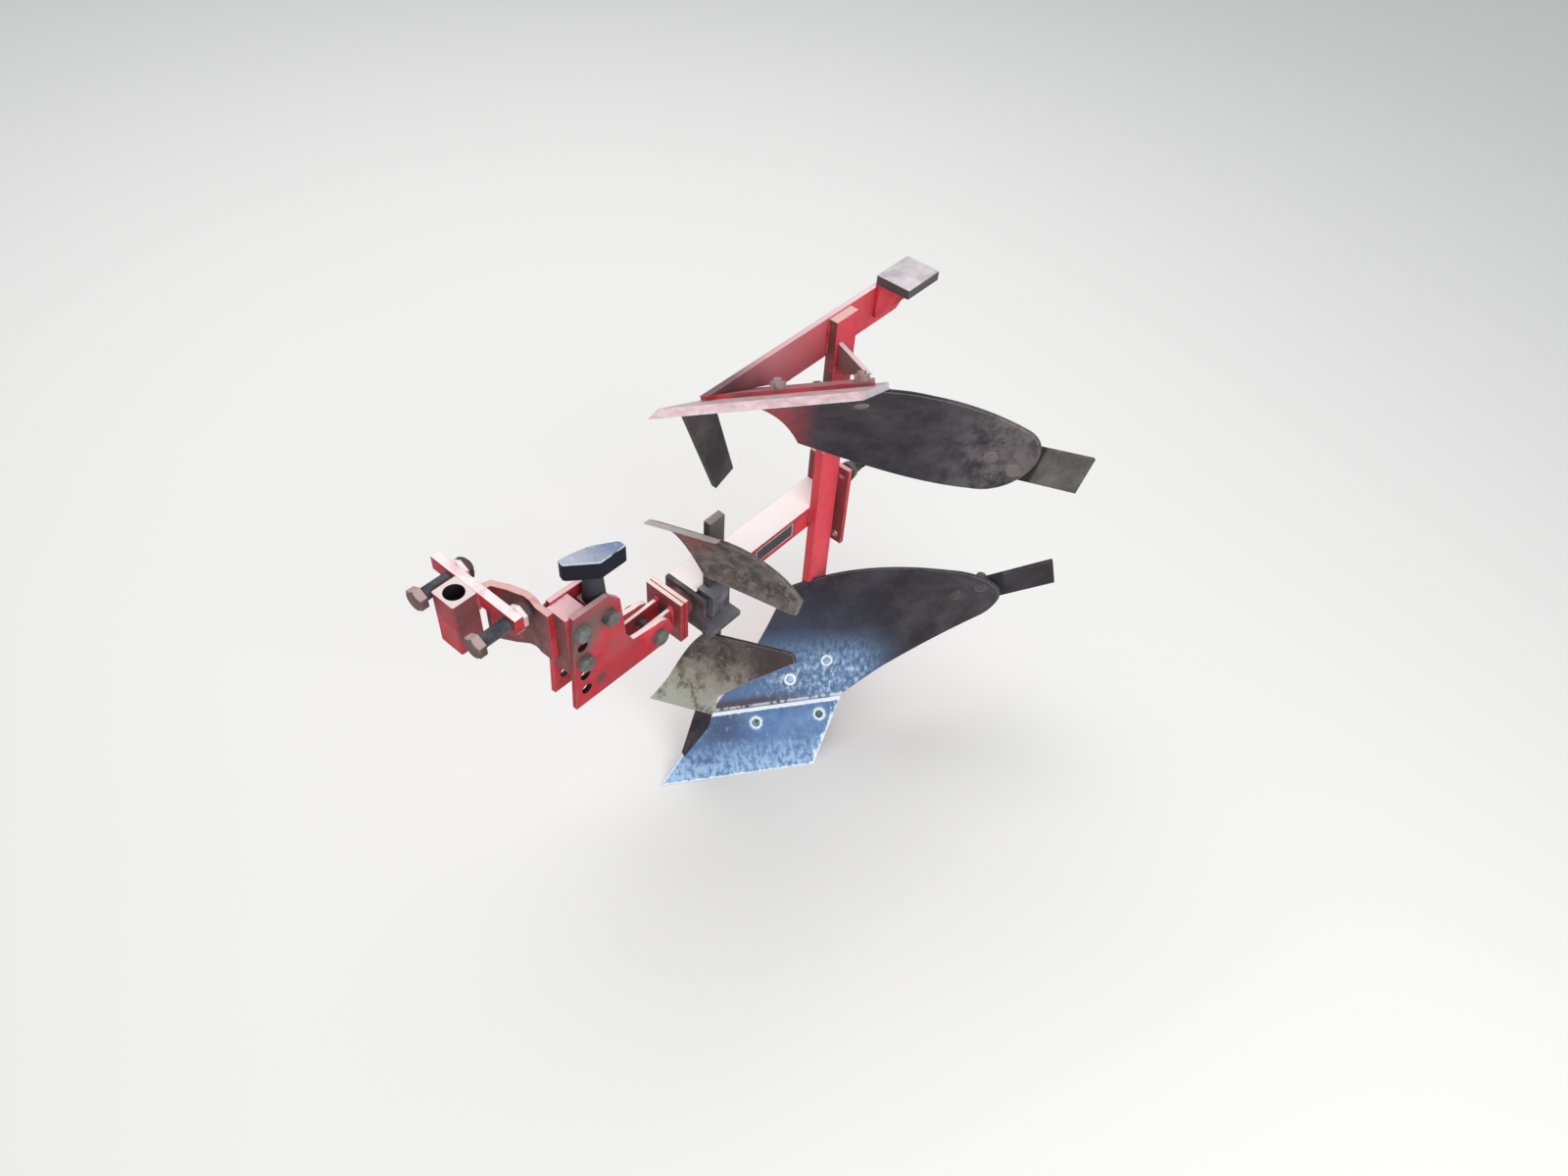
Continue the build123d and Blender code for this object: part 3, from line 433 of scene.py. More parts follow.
# Offset plate: a bent flat plate from the crossbar to the block between the
# side plates, brown with soil in front and peach along its sawn upper edge.
PEACH = (0.66, 0.38, 0.35, 1)
dress(red_paint("offset_paint", 3.0, PEACH, soil=0.9, side_soil_and_shade=((1, 0.2, 0), 0.92))[0], "offset_plate")


# Height block: a square block held between the side plates by two bolts, its top pink, bleached and painted
# pale with light from above, and blotched. Its front between the side plates is darkened with soil and with
# painted shade.
dress(red_paint("block_paint", 4.0, PINK, side_soil_and_shade=(FRONT, 0.9))[0], "height_block")


# Side plates: flame-cut plates with a row of height holes, bright red low down, greyed towards the upper
# front corner, stained below the holes, and pale along the top of the nose that the yoke turns in, bleached
# there and painted light from above. The empty holes are painted dark as the shade inside them.
GREYED = (0.150, 0.105, 0.103, 1)
STAIN = (0.11, 0.045, 0.045, 1)
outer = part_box("side_plate_left")[1].y
side_marks = [
    ((-0.075, outer, -0.045), 0.060, GREYED, 0.85),
    ((-0.115, outer, -0.025), 0.036, GREYED, 0.70),
    ((-0.111, outer, -0.152), 0.013, STAIN, 0.9),
    ((-0.137, outer, -0.097), 0.0035, STAIN, 0.8),
    ((-0.140, outer, -0.113), 0.0035, STAIN, 0.8),
    ((-0.173, outer, -0.137), 0.0035, STAIN, 0.8),
    ((-0.150, outer, -0.105), 0.040, RUBBED, 0.12),
]
HOLE_X = -0.0835
EMPTY_HOLE_ZS = (-0.0615, -0.1215, -0.1515)
HOLE_RADIUS = 0.0085
HOLE_DARK = (0.030, 0.012, 0.014, 1)
NOSE_WHITE = (0.88, 0.72, 0.69, 1)
NOSE_FROM = -0.150
NOSE_FADE = 0.012
for side, seed, soil, marks in (("left", 5.0, 0.25, side_marks), ("right", 5.6, 0.6, ())):
    made, tree, shader = red_paint("side_plate_paint_" + side, seed, PINK, soil=soil, marks=marks)
    # Empty holes: their walls are painted dark, painted shade inside the holes.
    for z in EMPTY_HOLE_ZS:
        away = off(tree, (1, 0, 1), (HOLE_X, 0, z))
        cover(tree, shader, band(tree, away, HOLE_RADIUS + 0.0008, HOLE_RADIUS + 0.0002), HOLE_DARK)
    # Top of the nose: bleached, and painted light from above.
    toward_nose = band(tree, run(tree, (NOSE_FROM, 0, 0), REAR), 0.0, NOSE_FADE)
    bleached_and_sky_lit = times(tree, facing(tree, UP, 0.5, 0.8), toward_nose)
    cover(tree, shader, times(tree, bleached_and_sky_lit, 0.9), NOSE_WHITE)
    dress(made, "side_plate_" + side)


# Bolts through the side plates: hexagon heads on the left, nuts on the right,
# with grey-green weathered zinc, which the swivel screws have too.
ZINC_DARK = (0.098, 0.102, 0.095, 1)
ZINC = (0.195, 0.203, 0.188, 1)
ZINC_RUBBED = (0.34, 0.36, 0.33, 1)
BOLT_D = 0.016
BOLT_FLATS = 0.024
BOLT_HEAD = 0.010
BOLT_NUT = 0.0128
BOLT_PAST = 0.95 * BOLT_D
BOLT_PITCH = 0.002
BOLT_CUT = 0.001
zinc = bolt_steel("zinc", 3.0, ZINC_DARK, ZINC, edge=ZINC_RUBBED)
right_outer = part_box("side_plate_right")[0].y
bolts_low, bolts_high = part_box("height_bolts")
pivot_low, pivot_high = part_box("pivot_bolt")


def cross_bolt(x, z):
    """Head, threaded shank and nut of a bolt through both side plates, with its nut on the right."""
    rows = thread_rows(right_outer - BOLT_PAST, outer + ROOTED, BOLT_D / 2, BOLT_PITCH)
    return [hexagon(outer, outer + BOLT_HEAD, BOLT_FLATS, (x, 0, z), LEFT),
            lathe(rows, 24, (x, 0, z), LEFT, pitch=BOLT_PITCH, cut=BOLT_CUT),
            hexagon(right_outer, right_outer - BOLT_NUT, BOLT_FLATS, (x, 0, z), LEFT)]


bolt_x = (bolts_low.x + bolts_high.x) / 2
height_zs = (bolts_low.z + BOLT_FLATS / 2, bolts_high.z - BOLT_FLATS / 2)
height_bolts = [part for z in height_zs for part in cross_bolt(bolt_x, z)]
build("height_bolt_set", height_bolts, "headstock", zinc, ["height_bolts"])
pivot_x = (pivot_low.x + pivot_high.x) / 2
pivot_z = (pivot_low.z + pivot_high.z) / 2
build("pivot_bolt_set", cross_bolt(pivot_x, pivot_z), "headstock", zinc, ["pivot_bolt"])
dress(zinc, "swivel_screws")


# Swivel block and depth screw: the screw turns in the block between the plates
# and stands clear through the yoke's cross block. Its thread is the bolts' own.
DEPTH_D = 0.016
dress(red_paint("swivel_paint", 6.0, PEACH, soil=0.9)[0], "swivel_block")
depth_low, depth_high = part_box("depth_screw")
depth_x = (depth_low.x + depth_high.x) / 2
depth_y = (depth_low.y + depth_high.y) / 2
depth_rows = thread_rows(depth_low.z, depth_high.z, DEPTH_D / 2, BOLT_PITCH)
depth_rod = lathe(depth_rows, 24, (depth_x, depth_y, 0), UP, pitch=BOLT_PITCH, cut=BOLT_CUT)
build("depth_screw_thread", [depth_rod], "headstock", thread_steel, ["depth_screw"])


# Knob: a black moulded wing on a tapering hub, its upper face a pale blue-grey, weathered and painted with
# the sky's reflection, with a painted highlight along its rounded rim.
KNOB_OUTLINE = ((0.038, -0.021), (0.041, -0.010), (0.003, 0.022), (-0.042, 0.0225), (-0.042, 0.011),
                (-0.009, -0.010), (0.016, -0.017))
KNOB_ROUND = 0.0022
WING_THICK = 0.031
HUB_WIDE = 0.0165
HUB_NARROW = 0.013
HUB_ROUND = 0.001
HUB_SUNK = 0.002
KNOB_BLACK = (0.010, 0.012, 0.022, 1)
KNOB_LILAC = (0.42, 0.43, 0.51, 1)
KNOB_BLUE = (0.17, 0.215, 0.32, 1)
KNOB_RIM = (0.66, 0.72, 0.82, 1)
HUB_GREY = (0.050, 0.050, 0.062, 1)
knob_low, knob_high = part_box("depth_knob")
wing_bottom = knob_high.z - WING_THICK


def rounded(outline, count, spread):
    """Closed outline of straight lines walked in equal steps.

    Its corners are eased: each place becomes the average of its neighbours, which weigh less
    the further off they are."""
    outline = np.asarray(outline, float)
    closed = np.vstack([outline, outline[:1]])
    gone = np.concatenate([[0], np.cumsum(np.linalg.norm(np.diff(closed, axis=0), axis=1))])
    steps = np.linspace(0, gone[-1], count, endpoint=False)
    walked = np.stack([np.interp(steps, gone, closed[:, k]) for k in (0, 1)], 1)
    weights = np.hanning(2 * spread + 3)[1:-1]
    weights = weights / weights.sum()
    return sum(w * np.roll(walked, k - spread, axis=0) for k, w in enumerate(weights))


wing = rounded(KNOB_OUTLINE, 180, 3)
middle = wing.mean(0)
knob_rings = [(wing_bottom, 0.0), (wing_bottom, 0.93), (wing_bottom + KNOB_ROUND, 1.0),
              (knob_high.z - KNOB_ROUND, 1.0), (knob_high.z - 0.4 * KNOB_ROUND, 0.985), (knob_high.z, 0.94),
              (knob_high.z, 0.0)]
wing_points = np.array([np.column_stack([middle + (wing - middle) * k, np.full(len(wing), z)])
                        for z, k in knob_rings]) + (depth_x, depth_y, 0)
hub_rows = [(knob_low.z, 0, 0, 0), (knob_low.z, HUB_WIDE - HUB_ROUND, 0, 0),
            (knob_low.z + HUB_ROUND, HUB_WIDE, 0, 0), (wing_bottom + HUB_SUNK, HUB_NARROW, 0, 0),
            (wing_bottom + HUB_SUNK, 0, 0, 0)]
hub = lathe(hub_rows, 40, (depth_x, depth_y, 0), UP)
knob_black, tree, shader = material("knob_black")
fine = noise(tree, 130, 6, 0.72)
crackle = noise(tree, 48, 7, 0.72, seed=3)
above_hub = band(tree, run(tree, (0, 0, wing_bottom), UP), 0, HUB_SUNK)
colour = blend(tree, above_hub, HUB_GREY, KNOB_BLACK)
# Upper face: blue-grey painted sky reflection over the weathered black.
across_wing = plus(tree, crackle, 0.06, run(tree, (depth_x, depth_y, 0), REAR))
sky_sheen_and_scour = blend(tree, band(tree, across_wing, 0.005, 0.055), KNOB_LILAC, KNOB_BLUE)
sky_sheen_and_scour = blend(tree, times(tree, band(tree, fine, 0.52, 0.66), 0.5), sky_sheen_and_scour, KNOB_BLUE)
sky_sheen_and_scour = blend(tree, times(tree, band(tree, crackle, 0.58, 0.66), 0.6), sky_sheen_and_scour, KNOB_RIM)
colour = blend(tree, facing(tree, UP, 0.45, 0.8), colour, sky_sheen_and_scour)
# Rounded rim of the upper face: painted highlight.
rim_level = band(tree, run(tree, (0, 0, knob_high.z), DOWN), KNOB_ROUND, 0.0006)
rim_faces = times(tree, band(tree, facing(tree, UP, 0, 1), 0.97, 0.85), rim_level)
colour = blend(tree, times(tree, rim_faces, band(tree, crackle, 0.36, 0.50)), colour, KNOB_RIM)
finish(tree, shader, colour, 0.6, crackle, 0.0006, gloss=0.15)
build("winged_knob", [(wing_points, grid_faces(len(knob_rings), len(wing))), hub], "headstock",
      knob_black, ["depth_knob"])


# Yoke: two arms inside the side plates, welded to a flange, with a cross block between them. Their sawn
# upper edges are nearly white, bleached and painted pale with light from above.
ARM_WHITE = (0.88, 0.76, 0.73, 1)
SEAM_DARK = (0.045, 0.018, 0.020, 1)
SEAM_HALF = 0.0005
ARM_PEACH = (0.92, 0.66, 0.60, 1)
dress(red_paint("arm_paint", 7.0, ARM_WHITE, top_cover=1.2, soil=0.6)[0], "yoke_arms")
dress(red_paint("cross_block_paint", 7.3, PINK, soil=0.8)[0], "yoke_cross_block")
flange_paint, tree, shader = red_paint("flange_paint", 7.6, ARM_PEACH, top_cover=1.2, soil=0.7,
                                       side_soil_and_shade=(FRONT, 0.65))
seam = (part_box("yoke_flange")[0].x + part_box("beam_flange")[1].x) / 2
in_seam = band(tree, off(tree, (1, 0, 0), (seam, 0, 0)), SEAM_HALF + 0.0007, SEAM_HALF)
cover(tree, shader, in_seam, SEAM_DARK)
dress(flange_paint, "yoke_flange", "beam_flange")


# Weld beads between the yoke's arms and its flange and between the socket and
# the crossbar, under the same red paint.
ARM_THICK = 0.006
ARM_BEAD = 0.0045
HITCH_BEAD = 0.0035
BEAD_END = 0.002
BEAD_COLUMNS = 14
ASLANT = (0.31, 0.52, 0.79)


def bead(start, end, radius, seed):
    """Weld bead between two places: a round bar whose radius falls to nothing at its ends.

    Its radius is r times the fourth root of sin(pi t), and swells by a tenth where the waves
    of the solidified pool stand, at every 0.8 r along it, leaning back round the section. It
    swells and shrinks by up to 0.12 r more in long slow waves."""
    start, end = np.asarray(start, float), np.asarray(end, float)
    length = np.linalg.norm(end - start)
    axis = (end - start) / length
    side = np.cross(axis, ASLANT)
    side = side / np.linalg.norm(side)
    other = np.cross(axis, side)
    t = np.linspace(0, 1, max(12, int(length / radius * 5)))[:, None]
    angle = np.arange(BEAD_COLUMNS)[None, :] * 2 * pi / BEAD_COLUMNS
    wave = 1 + 0.10 * np.sin(2 * pi * t * length / (0.8 * radius) + 0.9 * np.cos(angle) + seed)
    sway = 0.12 * np.sin(seed + t * length / radius * 0.7)
    size = radius * np.clip(np.sin(pi * t), 0, 1) ** 0.25 * wave * (1 + sway)
    points = start + t[..., None] * (end - start) + size[..., None] * (
        np.cos(angle)[..., None] * side + np.sin(angle)[..., None] * other)
    return points, grid_faces(len(t), BEAD_COLUMNS)


weld_paint = red_paint("weld_paint", 8.0, RED_BRIGHT, soil=0.5)[0]
arms_low, arms_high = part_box("yoke_arms")
flange_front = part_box("yoke_flange")[1].x
arm_beads = []
for seed, y in enumerate((arms_low.y, arms_high.y)):
    arm_beads.append(bead((flange_front, y, arms_low.z), (flange_front, y, arms_high.z), ARM_BEAD, seed))
for seed, y in enumerate((arms_low.y, arms_high.y - ARM_THICK), 2):
    start = (flange_front, y - BEAD_END, arms_high.z)
    end = (flange_front, y + ARM_THICK + BEAD_END, arms_high.z)
    arm_beads.append(bead(start, end, ARM_BEAD, seed))
build("yoke_welds", arm_beads, "yoke", weld_paint)
hitch_beads = [bead((socket_low.x, y, bar_low.z + BEAD_END), (socket_low.x, y, bar_high.z - BEAD_END),
                    HITCH_BEAD, seed) for seed, y in enumerate((socket_high.y, socket_low.y), 4)]
build("hitch_welds", hitch_beads, "headstock", weld_paint)


# Spindle, its washer and nut, and the latch behind the beam's rear plate: bare
# steel, dulled by the weather.
DULL_DARK = (0.060, 0.052, 0.050, 1)
DULL = (0.15, 0.135, 0.13, 1)
dull_steel = bolt_steel("dull_steel", 4.0, DULL_DARK, DULL)
dress(dull_steel, "spindle", "spindle_washer", "spindle_nut", "latch_pin", "latch_arm")


# Beam neck, collar, beam and rear plate: the tube's upper face is nearly white, bleached and painted pale
# with light from above, and its sides keep their red. The collar is black, but pale on top behind its front
# lip in the same way, and the rear plate is soiled in front.
BEAM_WHITE = (0.86, 0.77, 0.76, 1)
COLLAR_DARK = (0.060, 0.045, 0.045, 1)
COLLAR_GREY = (0.12, 0.10, 0.105, 1)
COLLAR_RUBBED = (0.26, 0.23, 0.23, 1)
COLLAR_LIP = 0.007
NECK_DARK = (0.12, 0.05, 0.055, 1)
dress(red_paint("neck_paint", 10.0, NECK_DARK, soil=1.0, side_soil_and_shade=(LEFT, 0.8))[0], "beam_neck")
dress(red_paint("beam_paint", 10.5, BEAM_WHITE, top_cover=1.2, soil=0.35)[0], "beam")
collar_paint, tree, shader = material("collar_paint")
collar_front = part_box("beam_collar")[1].x
fine = noise(tree, 80, 5, 0.65)
colour = blend(tree, band(tree, noise(tree, 30, 5, 0.6), 0.42, 0.62), COLLAR_DARK, COLLAR_GREY)
behind = band(tree, run(tree, (collar_front - COLLAR_LIP, 0, 0), REAR), 0.0, 0.001)
# Collar top: bleached, and painted light from above.
colour = blend(tree, times(tree, facing(tree, UP, 0.5, 0.8), behind), colour, BEAM_WHITE)
finish(tree, shader, colour, 0.7, fine, 0.0004, edge=COLLAR_RUBBED, wear=0.5)
dress(collar_paint, "beam_collar")
dress(red_paint("rear_plate_paint", 11.0, PEACH, soil=0.9, side_soil_and_shade=(FRONT, 0.7))[0], "beam_rear_plate")


# Blank plate: a thin dark strip on the left side of the beam near its upper
# edge, with a pale border and nothing on it.
PLATE_X = (-0.525, -0.437)
PLATE_Z = (-0.1695, -0.1425)
PLATE_THICK = 0.0008
PLATE_OFF = 0.0002
PLATE_BORDER = 0.0017
PLATE_DARK = (0.052, 0.052, 0.060, 1)
PLATE_PALE = (0.56, 0.55, 0.57, 1)
beam_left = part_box("beam")[1].y
rect = np.array([(PLATE_X[0], PLATE_Z[0]), (PLATE_X[1], PLATE_Z[0]), (PLATE_X[1], PLATE_Z[1]),
                 (PLATE_X[0], PLATE_Z[1])])
centre = rect.mean(0)
sheet_rings = np.array([(PLATE_OFF, 0), (PLATE_OFF, 1), (0.8 * PLATE_THICK, 1), (PLATE_THICK, 0.995),
                        (PLATE_THICK, 0)])
around = centre + (rect - centre) * sheet_rings[:, 1, None, None]
sheet = np.stack([around[..., 0], beam_left + sheet_rings[:, :1] + 0 * around[..., 0], around[..., 1]], -1)
plate_ink, tree, shader = material("blank_plate_ink")
rim = None
for start, way in (((PLATE_X[0], 0, 0), FRONT), ((PLATE_X[1], 0, 0), REAR),
                   ((0, 0, PLATE_Z[0]), UP), ((0, 0, PLATE_Z[1]), DOWN)):
    side = band(tree, run(tree, start, way), PLATE_BORDER * 1.3, PLATE_BORDER)
    rim = side if rim is None else larger(tree, rim, side)
fine = noise(tree, 90, 5, 0.6)
colour = blend(tree, times(tree, rim, 0.9), PLATE_DARK, PLATE_PALE)
colour = blend(tree, times(tree, band(tree, fine, 0.55, 0.7), 0.5), colour, SOIL)
finish(tree, shader, colour, 0.5, fine, 0.0001)
sheet_faces = grid_faces(len(sheet_rings), 4)[:, ::-1]
build("blank_plate", [(sheet, sheet_faces)], "turning_body", plate_ink)


# Leg: one flat bar from the upper to the lower body, welded to the beam and the
# landsides. It is bright red with a pale peach upper end and rust high up on its
# front face.
leg_low, leg_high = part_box("leg")
LEG_RUST = (0.20, 0.100, 0.080, 1)
RUST_FROM_Z = -0.02
RUST_FULL_Z = 0.10
BEAM_BEAD = 0.004
LAND_BEAD = 0.0035
LAND_BEAD_INSET = 0.003
leg_paint, tree, shader = red_paint("leg_paint", 12.0, PEACH, top_cover=1.1, soil=0.15, fresh=0.9)
rusted = times(tree, facing(tree, FRONT, 0.5, 0.8), band(tree, noise(tree, 30, 6, 0.65, seed=3), 0.28, 0.42))
high_up = band(tree, run(tree, (0, 0, 0), UP), RUST_FROM_Z, RUST_FULL_Z)
cover(tree, shader, times(tree, rusted, high_up), LEG_RUST)
dress(leg_paint, "leg")
beam_low, beam_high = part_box("beam")
beam_beads = [bead((x, beam_high.y, beam_low.z), (x, beam_high.y, beam_high.z), BEAM_BEAD, seed)
              for seed, x in enumerate((leg_high.x, leg_low.x), 6)]
for seed, side in enumerate(("upper", "lower")):
    land_low, land_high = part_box("landside_" + side)
    start_z = land_low.z + LAND_BEAD_INSET
    end_z = land_high.z - LAND_BEAD_INSET
    for x in (leg_low.x, leg_high.x):
        beam_beads.append(bead((x, leg_low.y, start_z), (x, leg_low.y, end_z), LAND_BEAD, seed))
build("beam_and_leg_welds", beam_beads, "turning_body", weld_paint)


# Landsides, frogs and braces: flat red steel, pale pink along the upper edge, bleached and painted light
# from above. The upper landside is faded rose towards the share and purple-brown beside it, and the brace
# and the frogs are brown with soil.
PALE_ROSE = (0.72, 0.56, 0.57, 1)
ROSE = (0.54, 0.25, 0.28, 1)
PURPLE_BROWN = (0.100, 0.055, 0.062, 1)
BRACE_BROWN = (0.26, 0.160, 0.160, 1)
FROG_BROWN = (0.30, 0.14, 0.16, 1)
land_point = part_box("landside_upper")[1]
land_marks = [((land_point.x, land_point.y, land_point.z), 0.330, ROSE, 0.75),
              ((land_point.x, land_point.y, land_point.z - 0.02), 0.130, PURPLE_BROWN, 0.9)]
landside_paint = red_paint("landside_paint", 13.0, PALE_ROSE, top_cover=1.1, soil=0.25,
                           marks=land_marks, fresh=0.7)[0]
dress(landside_paint, "landside_upper", "landside_lower")
brace_paint, tree, shader = red_paint("brace_paint", 13.5, PALE_ROSE, top_cover=1.1, soil=1.0)
upright = band(tree, facing(tree, UP, 0.4, 0.8), 1, 0)
grimy = times(tree, upright, band(tree, noise(tree, 34, 6, 0.65), 0.3, 0.48))
cover(tree, shader, grimy, BRACE_BROWN)
dress(brace_paint, "brace_upper", "brace_lower")
dress(red_paint("frog_paint", 14.0, FROG_BROWN, soil=0.8)[0], "frog_upper", "frog_lower")


# Heel shoes: worn pale steel angles on the landsides. Their upright flanges
# were painted with the landside.
HEEL_PALE = (0.64, 0.58, 0.60, 1)
HEEL_GREY = (0.40, 0.36, 0.37, 1)
HEEL_SIDE_SHADE = (0.10, 0.085, 0.085, 1)
SOLE_THICK = 0.014


def heel_steel(name, side):
    """Bare sole with sides painted dark as their shade, and red paint beyond the sole's thickness."""
    made, tree, shader = material(name)
    low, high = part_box("heel_shoe_" + side)
    start, inward, outward = ((0, 0, high.z), DOWN, UP) if side == "upper" else ((0, 0, low.z), UP, DOWN)
    fine = noise(tree, 90, 5, 0.65)
    colour = blend(tree, band(tree, noise(tree, 26, 5, 0.6), 0.36, 0.62), HEEL_GREY, HEEL_PALE)
    # Faces not turned outward: painted shade.
    colour = blend(tree, facing(tree, outward, 0.4, 0.8), HEEL_SIDE_SHADE, colour)
    beyond = band(tree, run(tree, start, inward), SOLE_THICK, SOLE_THICK + 0.0015)
    red = blend(tree, band(tree, noise(tree, 14, 4, 0.6), 0.4, 0.6), RED, RED_BRIGHT)
    colour = blend(tree, beyond, colour, red)
    finish(tree, shader, colour, 0.65, fine, 0.0004, 0.1, edge=HEEL_PALE, wear=0.5)
    return made


for side in ("upper", "lower"):
    dress(heel_steel("heel_steel_" + side, side), "heel_shoe_" + side)


# Shares: soil-scoured plates. The working face is bright blue-grey, its blue painted sky reflection, with
# pale scratches running back from the cutting edge, a white rubbed strip at the joint and worn ends, which
# are real wear under the same painted reflection. The top of the upper one is a weathered rose.
SHARE_ANGLE = radians(37.4)
SHARE_SLOPE = radians(33.5)
SHARE_TIP_Y = 0.143
SHARE_EDGE = 0.269
SHARE_WIDE = 0.112
SHARE_SET = 0.106
SHARE_SET_OUT = 0.336
SHARE_BOLTS = (0.179, 0.292)
SHARE_BOLT_V = 0.085
BLUE_DEEP = (0.085, 0.165, 0.345, 1)
BLUE_MID = (0.150, 0.270, 0.480, 1)
BLUE_PALE = (0.36, 0.53, 0.74, 1)
BLUE_WHITE = (0.82, 0.88, 0.95, 1)
STRIP_ROSE = (0.47, 0.33, 0.345, 1)
STRIP_PALE = (0.60, 0.45, 0.465, 1)
DARK_RUST = (0.085, 0.060, 0.066, 1)
KNIFE_SHADOW_BLUE = (0.060, 0.085, 0.155, 1)
KNIFE_FOOT_XY = (-0.367, 0.153)
KNIFE_FOOT_UP = 0.906
SCRATCH_RUN = 0.6
RING_INNER = 0.0105
RING_OUTER = 0.0125


def share_axes(side):
    """Tip of a share, and its directions along the cutting edge and across its face, away from the edge."""
    low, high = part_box("share_" + side)
    fall = -1 if side == "upper" else 1
    tip = (high.x, SHARE_TIP_Y, high.z if side == "upper" else low.z)
    along = (-cos(SHARE_ANGLE), sin(SHARE_ANGLE), 0)
    flat = cos(SHARE_SLOPE)
    across = (-sin(SHARE_ANGLE) * flat, -cos(SHARE_ANGLE) * flat, fall * sin(SHARE_SLOPE))
    return tip, along, across


def scratches(tree, u, v, scale):
    """Fine pattern on the share's plane, drawn out across the cutting edge."""
    place = node(tree, "CombineXYZ", {0: u, 1: times(tree, v, SCRATCH_RUN)}).outputs[0]
    return node(tree, "TexNoise", {"Vector": place, "Scale": scale, "Detail": 5.0,
                                   "Roughness": 0.62}).outputs["Fac"]


def ring(tree, u, v, place, inner, outer):
    """1 between two radii round a place in the share's plane."""
    here = node(tree, "CombineXYZ", {0: u, 1: v}).outputs[0]
    away = node(tree, "VectorMath", {0: here, 1: (*place, 0)}, operation="DISTANCE").outputs["Value"]
    return times(tree, band(tree, away, inner - 0.001, inner), band(tree, away, outer + 0.001, outer))


def share_steel(name, side):
    """Scoured steel, blue with painted sky reflection, laid out by u, metres along the cutting edge, and v,
    metres across the face.

    The inner and outer ends of the share reach the joint at SHARE_SET and SHARE_SET_OUT."""
    made, tree, shader = material(name)
    tip, along, across = share_axes(side)
    u = run(tree, tip, along)
    v = run(tree, tip, across)
    streak = scratches(tree, u, v, 130)
    cloud = noise(tree, 24, 7, 0.70, seed=2)
    # The blue of the face is painted sky reflection over the scoured steel.
    colour = blend(tree, band(tree, cloud, 0.40, 0.62), BLUE_DEEP, BLUE_MID)
    # Dark patch at the foot of the knife: painted shadow of the knife.
    knife_shadow = times(tree, near(tree, (*KNIFE_FOOT_XY, tip[2] * KNIFE_FOOT_UP), 0.055), 0.7)
    colour = blend(tree, knife_shadow, colour, KNIFE_SHADOW_BLUE)
    sky_sheen_and_scour = times(tree, band(tree, v, 0.062, 0.012), band(tree, streak, 0.42, 0.56))
    colour = blend(tree, times(tree, sky_sheen_and_scour, 0.95), colour, BLUE_PALE)
    colour = blend(tree, times(tree, band(tree, streak, 0.57, 0.68), 0.35), colour, BLUE_PALE)
    bleached_and_sky_lit = times(tree, near(tree, tip, 0.080), band(tree, streak, 0.34, 0.50))
    colour = blend(tree, times(tree, bleached_and_sky_lit, 0.8), colour, BLUE_PALE)
    slant = SHARE_SET_OUT - SHARE_EDGE
    reach = (slant ** 2 + SHARE_WIDE ** 2) ** 0.5
    out_u = plus(tree, u, SHARE_WIDE / reach, -SHARE_EDGE * SHARE_WIDE / reach)
    rough_end = plus(tree, streak, 0.034, plus(tree, v, -slant / reach, out_u))
    colour = blend(tree, times(tree, band(tree, rough_end, 0.0095, 0.0155), 0.85), colour, BLUE_WHITE)
    joint = plus(tree, streak, 0.005, v)
    colour = blend(tree, band(tree, joint, SHARE_WIDE - 0.0055, SHARE_WIDE - 0.0035), colour, BLUE_WHITE)
    lip = plus(tree, streak, -0.008, v)
    colour = blend(tree, times(tree, band(tree, lip, 0.0005, -0.002), 0.85), colour, BLUE_WHITE)
    inner = plus(tree, v, -1, times(tree, u, SHARE_WIDE / SHARE_SET))
    colour = blend(tree, times(tree, band(tree, inner, 0.006, 0.002), 0.7), colour, BLUE_WHITE)
    for at in SHARE_BOLTS:
        round_bolt = ring(tree, u, v, (at, SHARE_BOLT_V), RING_INNER, RING_OUTER)
        worn = times(tree, round_bolt, band(tree, streak, 0.40, 0.50))
        colour = blend(tree, times(tree, worn, 0.9), colour, BLUE_PALE)
    if side == "upper":
        strip = blend(tree, band(tree, noise(tree, 50, 6, 0.7), 0.42, 0.60), STRIP_ROSE, STRIP_PALE)
        colour = blend(tree, facing(tree, UP, 0.1, 0.4), colour, strip)
    finish(tree, shader, colour, 0.45, streak, 0.0005, 0.3, edge=BLUE_WHITE, wear=0.7, gloss=0.4)
    return made


for side in ("upper", "lower"):
    dress(share_steel("share_steel_" + side, side), "share_" + side)


# Mouldboards: rolled steel sheets with a dark purple-brown patina. Soil has polished the lower one above the
# share, where its sky-blue is painted sky reflection, and paint is left on the upper one's shin.
PATINA = (0.030, 0.026, 0.033, 1)
PATINA_PALE = (0.066, 0.060, 0.068, 1)
PATINA_AND_SKY_BLUE = (0.066, 0.088, 0.150, 1)
SEA = (0.105, 0.185, 0.335, 1)
SKY = (0.30, 0.44, 0.64, 1)
SKY_PALE = (0.58, 0.72, 0.88, 1)
WING_BROWN = (0.155, 0.136, 0.136, 1)
EDGE_PALE = (0.46, 0.39, 0.37, 1)
SHIN_RED = (0.40, 0.035, 0.055, 1)
SHIN_RUST = (0.19, 0.045, 0.058, 1)
MOULD_BOLTS = ((-0.4879, 0.1996, -0.4630), (-0.5485, 0.2307, -0.4388))
SHIN_PLACE = (-0.515, 0.149, 0.067)
SHIN_WAY = (-0.65, 0.76, 0.06)


